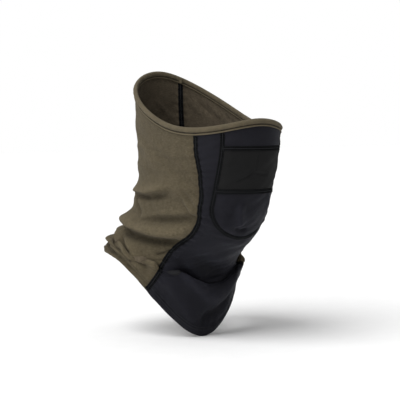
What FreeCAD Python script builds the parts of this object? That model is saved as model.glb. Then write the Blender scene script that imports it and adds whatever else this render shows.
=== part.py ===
import FreeCAD, Part

# Neck gaiter for skiing and snowboarding: a cloth tube that is drawn up over the nose.
# Two fleece side panels meet in a seam behind the head, a softshell front panel runs down
# into a bib, and a narrow insert of three pieces covers nose, mouth and chin.  The upper
# rim is bound with a folded tape that holds an elastic.
#
# Frame: millimetres, +Z up, -Y the way the wearer faces, +X the wearer's left.  The origin
# is the centre of the neck section.  The tube has the form it takes when it is worn.
#
# Every layer of the tube is offset from one draped surface.  That surface is given by level
# rings, from the rim over the nose down to the hem, and the angle around the ring is 0 in
# front and 90 degrees on the wearer's right.

import math
import os

import Sketcher

VECTOR = FreeCAD.Vector
PARTS_FOLDER = "parts"

# Level rings from top to bottom.  For each ring: how far it reaches forward and back from
# the origin, half its width, how square and how egg-shaped it is, its height in front and
# at the back, and the angle, in degrees, between the insert's side line and the cheek seam.
LEVEL_SIZES = {
    "rim": dict(front=142.5, back=68.5, half_width=67, square=2.35, egg=0.04,
                front_height=135.5, back_height=193, cheek_strip=21),
    "nose": dict(front=142, back=67.5, half_width=66, square=2.3, egg=0.07,
                 front_height=99, back_height=149, cheek_strip=19),
    "mouth": dict(front=134.5, back=63.5, half_width=65, square=2.25, egg=0.09,
                  front_height=59, back_height=112, cheek_strip=13),
    "chin": dict(front=122, back=60, half_width=65, square=2.2, egg=0.10,
                 front_height=24, back_height=82, cheek_strip=8.5),
    "jaw": dict(front=102.5, back=63, half_width=65, square=2.1, egg=0.10,
                front_height=-4, back_height=57, cheek_strip=6),
    "throat": dict(front=65, back=75.5, half_width=69, square=2.1, egg=0.06,
                   front_height=-29, back_height=29, cheek_strip=13),
    "tuck": dict(front=42, back=88, half_width=75, square=2.1, egg=0.05,
                 front_height=-51, back_height=7, cheek_strip=15),
    "roll": dict(front=49, back=100, half_width=83, square=2.1, egg=0.04,
                 front_height=-66, back_height=-5, cheek_strip=17),
    "hem": dict(front=31, back=98, half_width=90, square=2.0, egg=0.10,
                front_height=-124.5, back_height=-17, cheek_strip=22),
}
LEVELS = tuple(LEVEL_SIZES)

# A ring whose sides leave its tilted plane also has heights 60 and 120 degrees from front.
SIDE_HEIGHTS = {
    "rim_cheek_height": 125,
    "rim_nape_height": 158,
    "nose_cheek_height": 95,
    "nose_nape_height": 127,
    "roll_cheek_height": -35,
    "roll_nape_height": -12,
    "hem_cheek_height": -55,
    "hem_nape_height": -22,
}

# Layers, seams and trims.  The seam around the insert is measured in the front view, where
# its sides are seen at a slant and look narrower than they are along the cloth.
SEWN_SIZES = {
    "cloth_thickness": 1.2,
    "thread_thickness": 0.45,
    "cheek_seam_width": 6,
    "insert_seam_width": 3.4,
    "mouth_seam_width": 5,
    "back_seam_width": 6,
    "back_seam_side": 29,
    "mouth_top_height": 103,
    "mouth_bottom_height": 54,
    "insert_half_width": 41,
    "insert_bottom_height": -1,
    "binding_thickness": 0.9,
    "binding_above_edge": 1.2,
    "elastic_thickness": 0.6,
    "elastic_width": 4.5,
    "elastic_below_edge": 1,
    "binding_stitch_width": 1,
    "binding_stitch_margin": 0.6,
    "hem_stitch_width": 1,
    "hem_stitch_spacing": 3,
    "hem_stitch_above_edge": 7,
    "tack_length": 6.5,
    "tack_width": 1.6,
    "tack_thickness": 0.7,
}

# How far cutting blocks reach, well past the cloth on every side.
BLOCK_SIZES = {
    "block_reach": 320,
}

# The grid of points that the cloth's faces run through, and tolerances.
ROWS_PER_LEVEL = 4
COLUMN_DEGREES = 4
FEWEST_COLUMNS = 3
SURFACE_DEGREE = 3
SEWING_TOLERANCE = 0.001
ANGLE_TOLERANCE = 1e-7

# A sketch's own axes, as its constraints number them.
HORIZONTAL_AXIS = -1
VERTICAL_AXIS = -2


def fill_sheet(document):
    """Write every driving size into the spreadsheet, one aliased cell each."""
    sheet = document.addObject("Spreadsheet::Sheet", "sizes")
    sizes = {}
    for level, values in LEVEL_SIZES.items():
        for key, number in values.items():
            sizes[f"{level}_{key}"] = number
    sizes.update(SIDE_HEIGHTS)
    sizes.update(SEWN_SIZES)
    sizes.update(BLOCK_SIZES)
    for row, (alias, number) in enumerate(sizes.items(), start=1):
        sheet.set(f"A{row}", alias)
        sheet.set(f"B{row}", str(number))
        sheet.setAlias(f"B{row}", alias)
    document.recompute()
    return sheet


class DrapedSurface:
    """The outer face of the cloth, as a point for each level and angle."""

    def __init__(self, sheet):
        self.rings = [self.read_ring(sheet, level) for level in LEVELS]
        self.last = float(len(LEVELS) - 1)
        self.insert_side = sheet.get("insert_half_width")

    @staticmethod
    def read_ring(sheet, level):
        """Return one ring's sizes, with its heights as a short cosine series."""
        front = sheet.get(f"{level}_front_height")
        back = sheet.get(f"{level}_back_height")
        if f"{level}_cheek_height" in SIDE_HEIGHTS:
            cheek = sheet.get(f"{level}_cheek_height")
            nape = sheet.get(f"{level}_nape_height")
        else:
            cheek = (3 * front + back) / 4
            nape = (front + 3 * back) / 4
        second = ((front + back) - (cheek + nape)) / 3
        mean = (cheek + nape + second) / 2
        first = ((front - back) + (cheek - nape)) / 3
        third = (front - back) / 2 - first
        shape = [sheet.get(f"{level}_{key}")
                 for key in ("front", "back", "half_width", "square", "egg")]
        strip = math.radians(sheet.get(f"{level}_cheek_strip"))
        return shape + [mean, first, second, third, strip]

    def ring_at(self, level):
        """Return the ring between two levels, by a smooth cubic through the level rings."""
        level = min(max(level, 0.0), self.last)
        low = min(int(level), len(self.rings) - 2)
        part = level - low
        below, above = self.rings[low], self.rings[low + 1]
        slope_below, slope_above = self.slope(low), self.slope(low + 1)
        weights = (
            2 * part**3 - 3 * part**2 + 1,
            part**3 - 2 * part**2 + part,
            -2 * part**3 + 3 * part**2,
            part**3 - part**2,
        )
        columns = zip(below, slope_below, above, slope_above)
        return [sum(w * value for w, value in zip(weights, column)) for column in columns]

    def slope(self, index):
        """Return how fast each size changes at a level ring."""
        before = max(index - 1, 0)
        after = min(index + 1, len(self.rings) - 1)
        span = after - before
        return [(b - a) / span for a, b in zip(self.rings[before], self.rings[after])]

    def point(self, level, angle):
        """Return the point of the draped surface at a level and an angle in radians."""
        ring = self.ring_at(level)
        front, back, half_width, square, egg, mean, first, second, third, _ = ring
        along, across = math.cos(angle), math.sin(angle)
        scale = (abs(along)**square + abs(across)**square) ** (-1 / square)
        along, across = along * scale, across * scale
        forward = (front - back) / 2 + (front + back) / 2 * along
        sideways = half_width * across * (1 - egg * along)
        height = (mean + first * math.cos(angle) + second * math.cos(2 * angle)
                  + third * math.cos(3 * angle))
        return VECTOR(-sideways, -forward, height)

    def normal(self, level, angle):
        """Return the unit vector that points out of the cloth."""
        step = 0.02
        upper, lower = max(level - step, 0.0), min(level + step, self.last)
        down = self.point(lower, angle) - self.point(upper, angle)
        around = self.point(level, angle + step) - self.point(level, angle - step)
        return around.cross(down).normalize()

    def offset_point(self, level, angle, outward):
        """Return the point that lies a distance outside the draped surface.

        Past the rim or the hem the surface runs on as a mirror image of itself.
        """
        nearest = min(max(level, 0.0), self.last)
        if level != nearest:
            edge = self.offset_point(nearest, angle, outward)
            return edge * 2 - self.offset_point(2 * nearest - level, angle, outward)
        return self.point(level, angle) + self.normal(level, angle) * outward

    def cheek_angle(self, level):
        """Return the angle of the right cheek seam at a level, in radians."""
        insert_line = self.find_angle(level, -self.insert_side, math.pi / 2, 0.0)
        return insert_line + self.ring_at(level)[-1]

    def back_angle(self, level, side):
        """Return the angle at the back at which a level lies that far to the left."""
        return self.find_angle(level, side, math.pi / 2, 3 * math.pi / 2)

    def find_angle(self, level, side, right, left):
        """Return the angle between two at which a level lies that far to the left."""
        while abs(left - right) > ANGLE_TOLERANCE:
            middle = (right + left) / 2
            if self.point(level, middle).x < side:
                right = middle
            else:
                left = middle
        return (right + left) / 2

    def beside(self, line, level, distance):
        """Return the angle of a point beside a line, a distance away across the cloth."""
        step = 0.02
        angle = line(level)
        upper, lower = max(level - step, 0.0), min(level + step, self.last)
        run = (self.point(lower, line(lower)) - self.point(upper, line(upper))).normalize()
        around = self.point(level, angle + step) - self.point(level, angle - step)
        return angle + distance * 2 * step / around.cross(run).Length

    def level_below_rim(self, angle, distance):
        """Return the level at a distance along the cloth below the rim, or above it."""
        level = self.walk(0.0, 0.01, angle, abs(distance))
        return math.copysign(level, distance)

    def level_above_hem(self, angle, distance):
        """Return the level that lies a distance along the cloth above the hem."""
        return self.walk(self.last, -0.01, angle, distance)

    def walk(self, level, step, angle, distance):
        """Return the level reached by walking a distance along the cloth."""
        here = self.point(level, angle)
        walked = 0.0
        while walked < distance:
            following = self.point(level + step, angle)
            stride = (following - here).Length
            if walked + stride >= distance:
                return level + step * (distance - walked) / stride
            walked += stride
            level += step
            here = following
        return level


def control_points(points, closed):
    """Return control points whose smooth curve runs through the given points.

    A cubic curve stays inside its control points by a sixth of their second difference, so
    each one is moved out by that much.  The two at either end of an open line stay.
    """
    count = len(points)
    kept = 0 if closed else 2
    moved = list(points)
    for index in range(kept, count - kept):
        before, here, after = points[index - 1], points[index], points[(index + 1) % count]
        moved[index] = here - (before + after - here * 2) * (1 / 6)
    return moved


def clamped_knots(count):
    """Return degree, knots and multiplicities for a line of points with fixed ends."""
    degree = min(SURFACE_DEGREE, count - 1)
    spans = count - degree
    return degree, list(range(spans + 1)), [degree + 1] + [1] * (spans - 1) + [degree + 1]


def cloth_face(rows, closed=False):
    """Return a smooth face through rows of points, closed around the tube or open."""
    rows = [control_points(row, closed) for row in rows]
    if len(rows) > 2:
        columns = [control_points(list(column), False) for column in zip(*rows)]
        rows = [list(row) for row in zip(*columns)]
    down_degree, down_knots, down_counts = clamped_knots(len(rows))
    if closed:
        around_degree = SURFACE_DEGREE
        around_knots = list(range(len(rows[0]) + 1))
        around_counts = [1] * len(around_knots)
    else:
        around_degree, around_knots, around_counts = clamped_knots(len(rows[0]))
    surface = Part.BSplineSurface()
    surface.buildFromPolesMultsKnots(
        rows, down_counts, around_counts, down_knots, around_knots,
        False, closed, down_degree, around_degree,
    )
    return surface.toShape()


def closed_solid(faces):
    """Sew faces that meet all round into a solid."""
    shell = Part.makeShell(faces)
    shell.sewShape(SEWING_TOLERANCE)
    solid = Part.makeSolid(shell)
    if solid.Volume < 0:
        solid.reverse()
    return solid


def add_sheet(document, surface, name, first_line, last_line, outside, inside):
    """Add a piece of cloth or thread between two lines that run down from rim to hem.

    Each line is a function that gives its angle at a level.  The piece lies between two
    distances from the draped surface.
    """
    count = ROWS_PER_LEVEL * (len(LEVELS) - 1)
    levels = [surface.last * index / count for index in range(count + 1)]
    spread = max(last_line(level) - first_line(level) for level in levels)
    columns = max(math.ceil(spread / math.radians(COLUMN_DEGREES)), FEWEST_COLUMNS)

    def rows(outward):
        found = []
        for level in levels:
            first, last = first_line(level), last_line(level)
            angles = [first + (last - first) * index / columns for index in range(columns + 1)]
            found.append([surface.offset_point(level, angle, outward) for angle in angles])
        return found

    outer, inner = rows(outside), rows(inside)
    faces = [cloth_face(outer), cloth_face(inner)]
    for end in (0, -1):
        faces.append(cloth_face([outer[end], inner[end]]))
        faces.append(cloth_face([[row[end] for row in outer], [row[end] for row in inner]]))
    sheet_piece = document.addObject("Part::Feature", name)
    sheet_piece.Shape = closed_solid(faces)
    return sheet_piece


def add_trim(document, surface, name, find_level, corners):
    """Add a closed trim that keeps one cross-section all along the rim or the hem.

    Each corner of the cross-section is a distance from that edge along the cloth and a
    distance out from the draped surface.
    """
    count = math.ceil(360 / COLUMN_DEGREES)
    angles = [2 * math.pi * index / count for index in range(count)]
    rings = [[surface.offset_point(find_level(angle, distance), angle, outward)
              for angle in angles]
             for distance, outward in corners]
    trim = document.addObject("Part::Feature", name)
    trim.Shape = closed_solid([cloth_face([ring, following], closed=True)
                               for ring, following in zip(rings, rings[1:] + rings[:1])])
    return trim


def section(near, far, outside, inside):
    """Return the corners of a flat strip's cross-section."""
    return [(near, outside), (far, outside), (far, inside), (near, inside)]


def add_common(document, name, base, tool):
    """Add what two objects share."""
    common = document.addObject("Part::Common", name)
    common.Base = base
    common.Tool = tool
    return common


def add_cut(document, name, base, tool):
    """Add what is left of one object without the other."""
    cut = document.addObject("Part::Cut", name)
    cut.Base = base
    cut.Tool = tool
    return cut


def add_compound(document, name, links):
    """Add a node that is a group of separate solids."""
    group = document.addObject("Part::Compound", name)
    group.Links = links
    return group


def add_box(document, name, corner, sides):
    """Add a box whose corner and sides are expressions on the sheet."""
    box = document.addObject("Part::Box", name)
    for axis, text in zip(("x", "y", "z"), corner):
        box.setExpression(f"Placement.Base.{axis}", text)
    for side, text in zip(("Length", "Width", "Height"), sides):
        box.setExpression(side, text)
    return box


def add_block(document, name, profile, direction, forward, backward):
    """Add a block extruded from a flat profile."""
    block = document.addObject("Part::Extrusion", name)
    block.Base = profile
    block.DirMode = "Custom"
    block.Dir = direction
    block.Solid = True
    block.setExpression("LengthFwd", forward)
    block.setExpression("LengthRev", backward)
    return block


def add_outline(document, name, profile, distance):
    """Add a profile moved outwards, or inwards where the distance is negative."""
    outline = document.addObject("Part::Offset2D", name)
    outline.Source = profile
    outline.setExpression("Value", distance)
    return outline


def pin_point(sketch, geometry, position, along=None, up=None):
    """Tie a sketch point's place along and up to expressions on the sheet."""
    drawn = sketch.getPoint(geometry, position)
    for kind, text, distance in (("DistanceX", along, drawn.x), ("DistanceY", up, drawn.y)):
        if text:
            rule = Sketcher.Constraint(kind, -1, 1, geometry, position, distance)
            index = sketch.addConstraint(rule)
            sketch.setExpression(f"Constraints[{index}]", text)


def rest_on_axis(sketch, geometry, position, axis):
    """Keep a sketch point on the sketch's own horizontal or vertical axis."""
    sketch.addConstraint(Sketcher.Constraint("PointOnObject", geometry, position, axis))


def join_ends(sketch, chain):
    """Join the end of each edge to the start of the next around a closed chain."""
    for before, after in zip(chain, chain[1:] + chain[:1]):
        sketch.addConstraint(Sketcher.Constraint("Coincident", before, 2, after, 1))


def draw_insert_profile(document, sheet):
    """Draw the U-shaped outline of the nose, mouth and chin insert, seen from the front."""
    sketch = document.addObject("Sketcher::SketchObject", "insert_profile")
    front_view = FreeCAD.Rotation(VECTOR(1, 0, 0), VECTOR(0, 0, 1), VECTOR(0, -1, 0), "ZXY")
    sketch.Placement = FreeCAD.Placement(VECTOR(), front_view)
    half = sheet.get("insert_half_width")
    centre = sheet.get("insert_bottom_height") + half
    reach = sheet.get("block_reach")
    circle = Part.Circle(VECTOR(0, centre, 0), VECTOR(0, 0, 1), half)
    arc = sketch.addGeometry(Part.ArcOfCircle(circle, math.pi, 2 * math.pi), False)
    corners = [VECTOR(half, centre, 0), VECTOR(half, reach, 0), VECTOR(-half, reach, 0),
               VECTOR(-half, centre, 0)]
    edges = [sketch.addGeometry(Part.LineSegment(a, b), False)
             for a, b in zip(corners, corners[1:])]
    join_ends(sketch, [arc] + edges)
    centre_text = "sizes.insert_bottom_height + sizes.insert_half_width"
    rest_on_axis(sketch, arc, 3, VERTICAL_AXIS)
    pin_point(sketch, arc, 3, up=centre_text)
    pin_point(sketch, edges[0], 1, "sizes.insert_half_width", centre_text)
    pin_point(sketch, edges[1], 1, "sizes.insert_half_width", "sizes.block_reach")
    pin_point(sketch, edges[2], 1, "-sizes.insert_half_width", "sizes.block_reach")
    pin_point(sketch, arc, 1, up=centre_text)
    return sketch


def build_tack(document, sheet, surface):
    """Add the bar tack that closes the binding's lapped end at the back seam."""
    body = document.addObject("PartDesign::Body", "binding_tack")
    sketch = body.newObject("Sketcher::SketchObject", "tack_outline")
    plane = next(f for f in body.Origin.OriginFeatures if f.Role == "XY_Plane")
    sketch.AttachmentSupport = [(plane, "")]
    sketch.MapMode = "FlatFace"
    half_width = sheet.get("tack_width") / 2
    length = sheet.get("tack_length")
    corners = [VECTOR(-half_width, 0, 0), VECTOR(half_width, 0, 0),
               VECTOR(half_width, length, 0), VECTOR(-half_width, length, 0)]
    edges = [sketch.addGeometry(Part.LineSegment(a, b), False)
             for a, b in zip(corners, corners[1:] + corners[:1])]
    join_ends(sketch, edges)
    for edge, side in ((edges[0], "-sizes.tack_width / 2"), (edges[1], "sizes.tack_width / 2")):
        rest_on_axis(sketch, edge, 1, HORIZONTAL_AXIS)
        pin_point(sketch, edge, 1, along=side)
    pin_point(sketch, edges[2], 1, "sizes.tack_width / 2", "sizes.tack_length")
    pin_point(sketch, edges[3], 1, "-sizes.tack_width / 2", "sizes.tack_length")
    pad = body.newObject("PartDesign::Pad", "tack_bar")
    pad.Profile = sketch
    pad.setExpression("Length", "sizes.tack_thickness")
    body.Tip = pad

    # The bar lies on the binding's inner face, along the cloth from just below the edge.
    angle = surface.back_angle(0.0, sheet.get("back_seam_side"))
    inward = -(sheet.get("cloth_thickness") + sheet.get("elastic_thickness")
               + sheet.get("binding_thickness"))
    start = surface.offset_point(0.0, angle, inward)
    lower_level = surface.level_below_rim(angle, length)
    down = surface.offset_point(lower_level, angle, inward) - start
    into_head = surface.normal(lower_level / 2, angle) * -1
    turn = FreeCAD.Rotation(VECTOR(), down, into_head, "ZYX")
    body.Placement = FreeCAD.Placement(start, turn)
    return body


def build_cloth(document, sheet, surface):
    """Add the three widths of cloth: the whole front, and the two finished side panels."""
    side = sheet.get("back_seam_side")
    layer = (0.0, -sheet.get("cloth_thickness"))
    turn = 2 * math.pi

    def right_cheek(level):
        return surface.cheek_angle(level)

    def left_cheek(level):
        return -surface.cheek_angle(level)

    def back(level):
        return surface.back_angle(level, side)

    return {
        "front_cloth": add_sheet(
            document, surface, "front_cloth", left_cheek, right_cheek, *layer),
        "right_side_panel": add_sheet(
            document, surface, "right_side_panel", right_cheek, back, *layer),
        "left_side_panel": add_sheet(
            document, surface, "left_side_panel", back,
            lambda level: left_cheek(level) + turn, *layer),
    }


def build_front(document, front_cloth, insert_block):
    """Cut the front cloth into the softshell panel and the insert's three pieces."""
    reach = "sizes.block_reach"
    everywhere = f"2 * {reach}"
    panels = {"front_panel": add_cut(document, "front_panel", front_cloth, insert_block)}
    for name, bottom, height in (
        ("nose_panel", "sizes.mouth_top_height", reach),
        ("mouth_patch", "sizes.mouth_bottom_height",
         "sizes.mouth_top_height - sizes.mouth_bottom_height"),
        ("chin_panel", f"sizes.mouth_bottom_height - {reach}", reach),
    ):
        span = add_box(document, f"{name}_span", (f"-{reach}", f"-{reach}", bottom),
                       (everywhere, everywhere, height))
        block = add_common(document, f"{name}_block", insert_block, span)
        panels[name] = add_common(document, name, front_cloth, block)
    return panels


def thread_layers(sheet):
    """Return the seam thread's place outside and inside the cloth."""
    cloth = sheet.get("cloth_thickness")
    thread = sheet.get("thread_thickness")
    return {"outside": (thread, 0.0), "inside": (-cloth, -cloth - thread)}


def build_long_seams(document, sheet, surface):
    """Add the thread of the seams that run from rim to hem."""
    side = sheet.get("back_seam_side")
    lines = {
        "right_cheek_seam": (surface.cheek_angle, "cheek_seam_width"),
        "left_cheek_seam": (lambda level: -surface.cheek_angle(level), "cheek_seam_width"),
        "back_seam": (lambda level: surface.back_angle(level, side), "back_seam_width"),
    }
    seams = {}
    for name, (line, width) in lines.items():
        half = sheet.get(width) / 2
        seams[name] = add_compound(document, name, [
            add_sheet(document, surface, f"{name}_{place}",
                      lambda level, line=line, half=half: surface.beside(line, level, -half),
                      lambda level, line=line, half=half: surface.beside(line, level, half),
                      *layer)
            for place, layer in thread_layers(sheet).items()
        ])
    return seams


def build_insert_seams(document, sheet, surface, profile):
    """Add the thread of the insert's outline and of the two seams that cross it."""
    reach = "sizes.block_reach"
    half = "sizes.insert_seam_width / 2"
    forward = VECTOR(0, -1, 0)
    blocks = {}
    for name, distance in (("wide", half), ("narrow", f"-{half}")):
        outline = add_outline(document, f"insert_outline_{name}", profile, distance)
        blocks[name] = add_block(document, f"insert_block_{name}", outline, forward, reach, "0")
    seam_blocks = {
        "insert_seam": add_cut(document, "insert_seam_block", blocks["wide"], blocks["narrow"]),
    }
    for name, height in (("mouth_seam_upper", "mouth_top_height"),
                         ("mouth_seam_lower", "mouth_bottom_height")):
        band = add_box(document, f"{name}_band",
                       (f"-{reach}", f"-{reach}",
                        f"sizes.{height} - sizes.mouth_seam_width / 2"),
                       (f"2 * {reach}", reach, "sizes.mouth_seam_width"))
        seam_blocks[name] = add_common(document, f"{name}_block", band, blocks["narrow"])

    inset = -sheet.get("cheek_seam_width") / 2

    def right_edge(level):
        return surface.beside(surface.cheek_angle, level, inset)

    threads = {
        place: add_sheet(document, surface, f"front_thread_{place}",
                         lambda level: -right_edge(level), right_edge, *layer)
        for place, layer in thread_layers(sheet).items()
    }
    return {
        name: add_compound(document, name, [
            add_common(document, f"{name}_{place}", thread, block)
            for place, thread in threads.items()
        ])
        for name, block in seam_blocks.items()
    }


def build_binding(document, sheet, surface):
    """Add the rim's folded tape with its elastic and stitching, and return them by name."""
    cloth = sheet.get("cloth_thickness")
    thread = sheet.get("thread_thickness")
    tape = sheet.get("binding_thickness")
    top = -sheet.get("binding_above_edge")
    below_rim = surface.level_below_rim
    elastic_face = -cloth - sheet.get("elastic_thickness")
    outer_face = tape
    inner_face = elastic_face - tape
    near = sheet.get("elastic_below_edge")
    far = near + sheet.get("elastic_width")
    stitch_far = far + sheet.get("binding_stitch_width")
    depth = stitch_far + sheet.get("binding_stitch_margin")

    folded_tape = [
        (depth, outer_face), (top, outer_face), (top, inner_face), (depth, inner_face),
        (depth, -cloth), (far, -cloth), (far, elastic_face), (near, elastic_face),
        (near, -cloth), (0.0, -cloth), (0.0, 0.0), (depth, 0.0),
    ]
    return {
        "top_binding": add_trim(document, surface, "top_binding", below_rim, folded_tape),
        "binding_elastic": add_trim(document, surface, "binding_elastic", below_rim,
                                    section(near, far, -cloth, elastic_face)),
        "binding_stitching": add_compound(document, "binding_stitching", [
            add_trim(document, surface, "binding_stitch_outside", below_rim,
                     section(far, stitch_far, outer_face + thread, outer_face)),
            add_trim(document, surface, "binding_stitch_inside", below_rim,
                     section(far, stitch_far, inner_face, inner_face - thread)),
        ]),
        "binding_tack": build_tack(document, sheet, surface),
    }


def build_hem_stitching(document, sheet, surface):
    """Add the coverstitch of the turned hem: two needle lines outside, one band inside."""
    width = sheet.get("hem_stitch_width")
    spacing = sheet.get("hem_stitch_spacing")
    lower = sheet.get("hem_stitch_above_edge")
    rows = []
    for name, place, near, far in (
        ("hem_needle_lower", "outside", lower, lower + width),
        ("hem_needle_upper", "outside", lower + spacing, lower + spacing + width),
        ("hem_looper", "inside", lower, lower + spacing + width),
    ):
        corners = section(near, far, *thread_layers(sheet)[place])
        rows.append(add_trim(document, surface, name, surface.level_above_hem, corners))
    return {"hem_stitching": add_compound(document, "hem_stitching", rows)}


def check_document(document, nodes):
    """Stop if any object failed to compute, or any node is not a valid solid."""
    for item in document.Objects:
        if "Invalid" in item.State or "Error" in item.State:
            raise RuntimeError(f"{item.Name} failed: {item.State}")
    for name, node in nodes.items():
        shape = node.Shape
        if shape.isNull() or not shape.isValid() or not shape.Solids or shape.Volume <= 0:
            raise RuntimeError(f"{name} is not a valid solid")


def main():
    """Build the gaiter and write one STEP file for each node."""
    document = FreeCAD.newDocument("neck_gaiter")
    sheet = fill_sheet(document)
    surface = DrapedSurface(sheet)
    profile = draw_insert_profile(document, sheet)
    insert_block = add_block(document, "insert_block", profile, VECTOR(0, -1, 0),
                             "sizes.block_reach", "0")

    nodes = build_cloth(document, sheet, surface)
    nodes.update(build_front(document, nodes.pop("front_cloth"), insert_block))
    nodes.update(build_long_seams(document, sheet, surface))
    nodes.update(build_insert_seams(document, sheet, surface, profile))
    nodes.update(build_binding(document, sheet, surface))
    nodes.update(build_hem_stitching(document, sheet, surface))
    for name, node in nodes.items():
        node.Label = name
    document.recompute()
    check_document(document, nodes)

    os.makedirs(PARTS_FOLDER, exist_ok=True)
    for name, node in nodes.items():
        node.Shape.exportStep(os.path.join(PARTS_FOLDER, f"{name}.step"))
        box = node.Shape.BoundBox
        print(f"{name}: {len(node.Shape.Solids)} solids, {node.Shape.Volume:.0f} mm3,"
              f" x {box.XMin:.1f}..{box.XMax:.1f}, y {box.YMin:.1f}..{box.YMax:.1f},"
              f" z {box.ZMin:.1f}..{box.ZMax:.1f}")


main()
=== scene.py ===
"""A pull-on neck gaiter: two fleece sides, a softshell front with a bib, and a bound rim.

Every cloth panel is a cut from one draped form.  A place on the form is a level, from 0 at
the rim to 8 at the hem, and an angle around the tube, 0 in front and positive towards the
wearer's right.  Sizes are in millimetres until points are handed out, which are in metres.
"""

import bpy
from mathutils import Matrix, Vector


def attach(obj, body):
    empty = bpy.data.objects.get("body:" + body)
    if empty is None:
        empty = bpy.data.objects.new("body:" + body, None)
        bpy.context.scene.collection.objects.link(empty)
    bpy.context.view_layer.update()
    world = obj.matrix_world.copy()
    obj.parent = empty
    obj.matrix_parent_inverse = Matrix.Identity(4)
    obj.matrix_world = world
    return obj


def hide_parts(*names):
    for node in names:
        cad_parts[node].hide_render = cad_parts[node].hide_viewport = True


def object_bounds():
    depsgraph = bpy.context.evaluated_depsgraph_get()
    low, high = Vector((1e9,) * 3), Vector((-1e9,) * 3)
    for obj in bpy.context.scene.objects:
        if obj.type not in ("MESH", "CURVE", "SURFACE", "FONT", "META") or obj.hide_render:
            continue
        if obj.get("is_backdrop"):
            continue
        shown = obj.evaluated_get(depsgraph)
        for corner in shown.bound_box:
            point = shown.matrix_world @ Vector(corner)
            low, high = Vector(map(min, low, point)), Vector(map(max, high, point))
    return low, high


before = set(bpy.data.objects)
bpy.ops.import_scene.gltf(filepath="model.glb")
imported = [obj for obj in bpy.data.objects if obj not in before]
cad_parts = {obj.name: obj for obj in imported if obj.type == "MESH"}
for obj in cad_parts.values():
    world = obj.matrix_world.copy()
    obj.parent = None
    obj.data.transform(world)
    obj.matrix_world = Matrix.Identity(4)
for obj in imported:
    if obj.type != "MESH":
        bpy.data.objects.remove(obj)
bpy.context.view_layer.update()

import logging
import math
from collections.abc import Callable
from dataclasses import dataclass, field
from enum import Enum

import bmesh
import bpy
import numpy as np
from mathutils import Vector

LOG = logging.getLogger("neck_gaiter")
MM = 0.001
LAST_LEVEL = 8.0
ROWS_PER_LEVEL = 26
CLOTH_SPACING = 1.4
CLOTH_THICKNESS = 1.1
LEVEL_LENGTH = 34.0
HEM_LEVEL_LENGTH = 42.0
HEM_LINE = 8.5
GIRTH_RADIUS = 80.0


class Slot(Enum):
    """The record's material slots, one for each kind of new piece."""

    FLEECE = "fleece"
    SOFTSHELL = "softshell"
    MESH = "breathable_mesh"
    SEAM_THREAD = "seam_thread"
    BINDING = "binding_tape"
    BINDING_THREAD = "binding_thread"


class Face(Enum):
    """Which face of the cloth a trim is sewn on."""

    OUTSIDE = 1
    INSIDE = -1


# ---------------------------------------------------------------- small maths


def unit(vectors: np.ndarray) -> np.ndarray:
    """Return vectors at length one."""
    return vectors / np.maximum(np.linalg.norm(vectors, axis=-1, keepdims=True), 1e-12)


def dot(first: np.ndarray, second: np.ndarray) -> np.ndarray:
    """Return the dot products of vectors."""
    return (first * second).sum(axis=-1)


def hump(gap: np.ndarray, width: float) -> np.ndarray:
    """Return a smooth bump, one where there is no gap, that fades over a width."""
    return np.exp(-((gap / width) ** 2))


def close_in(low: np.ndarray, high: np.ndarray,
             holds: Callable[[np.ndarray], np.ndarray], steps: int = 34) -> np.ndarray:
    """Return where a test stops holding, by halving the stretch in which it does.

    Args:
        low: Places where the test holds.
        high: Places where it no longer does.
        holds: The test.
        steps: How many times the stretch is halved.

    Returns:
        The places in between.
    """
    for _ in range(steps):
        middle = (low + high) / 2
        held = holds(middle)
        low, high = np.where(held, middle, low), np.where(held, high, middle)
    return (low + high) / 2


# ---------------------------------------------------------------- the draped form


@dataclass(frozen=True)
class Ring:
    """One level ring of the form, in millimetres."""

    front: float
    back: float
    half_width: float
    square: float
    egg: float
    front_height: float
    back_height: float
    cheek_strip: float
    cheek_height: float | None = None
    nape_height: float | None = None

    def row(self) -> list[float]:
        """Return the ring's sizes, with its heights as a short cosine series.

        Returns:
            The front, back, half width, square and egg, four terms of the height, and the
            cheek strip in radians.
        """
        front, back = self.front_height, self.back_height
        cheek = (3 * front + back) / 4 if self.cheek_height is None else self.cheek_height
        nape = (front + 3 * back) / 4 if self.nape_height is None else self.nape_height
        second = ((front + back) - (cheek + nape)) / 3
        mean = (cheek + nape + second) / 2
        first = ((front - back) + (cheek - nape)) / 3
        third = (front - back) / 2 - first
        shape = [self.front, self.back, self.half_width, self.square, self.egg]
        return shape + [mean, first, second, third, math.radians(self.cheek_strip)]


RINGS = (
    Ring(142.5, 68.5, 67, 2.35, 0.04, 135.5, 193, 21, 125, 158),
    Ring(142, 67.5, 66, 2.30, 0.07, 99, 149, 19, 95, 127),
    Ring(134.5, 63.5, 65, 2.25, 0.09, 59, 112, 13),
    Ring(122, 60, 65, 2.20, 0.10, 24, 82, 8.5),
    Ring(102.5, 63, 65, 2.10, 0.10, -4, 57, 6),
    Ring(65, 75.5, 69, 2.10, 0.06, -29, 29, 13),
    Ring(42, 88, 75, 2.10, 0.05, -51, 7, 15),
    Ring(49, 100, 83, 2.10, 0.04, -66, -5, 17, -35, -12),
    Ring(31, 98, 90, 2.00, 0.10, -124.5, -17, 22, -55, -22),
)


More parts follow.
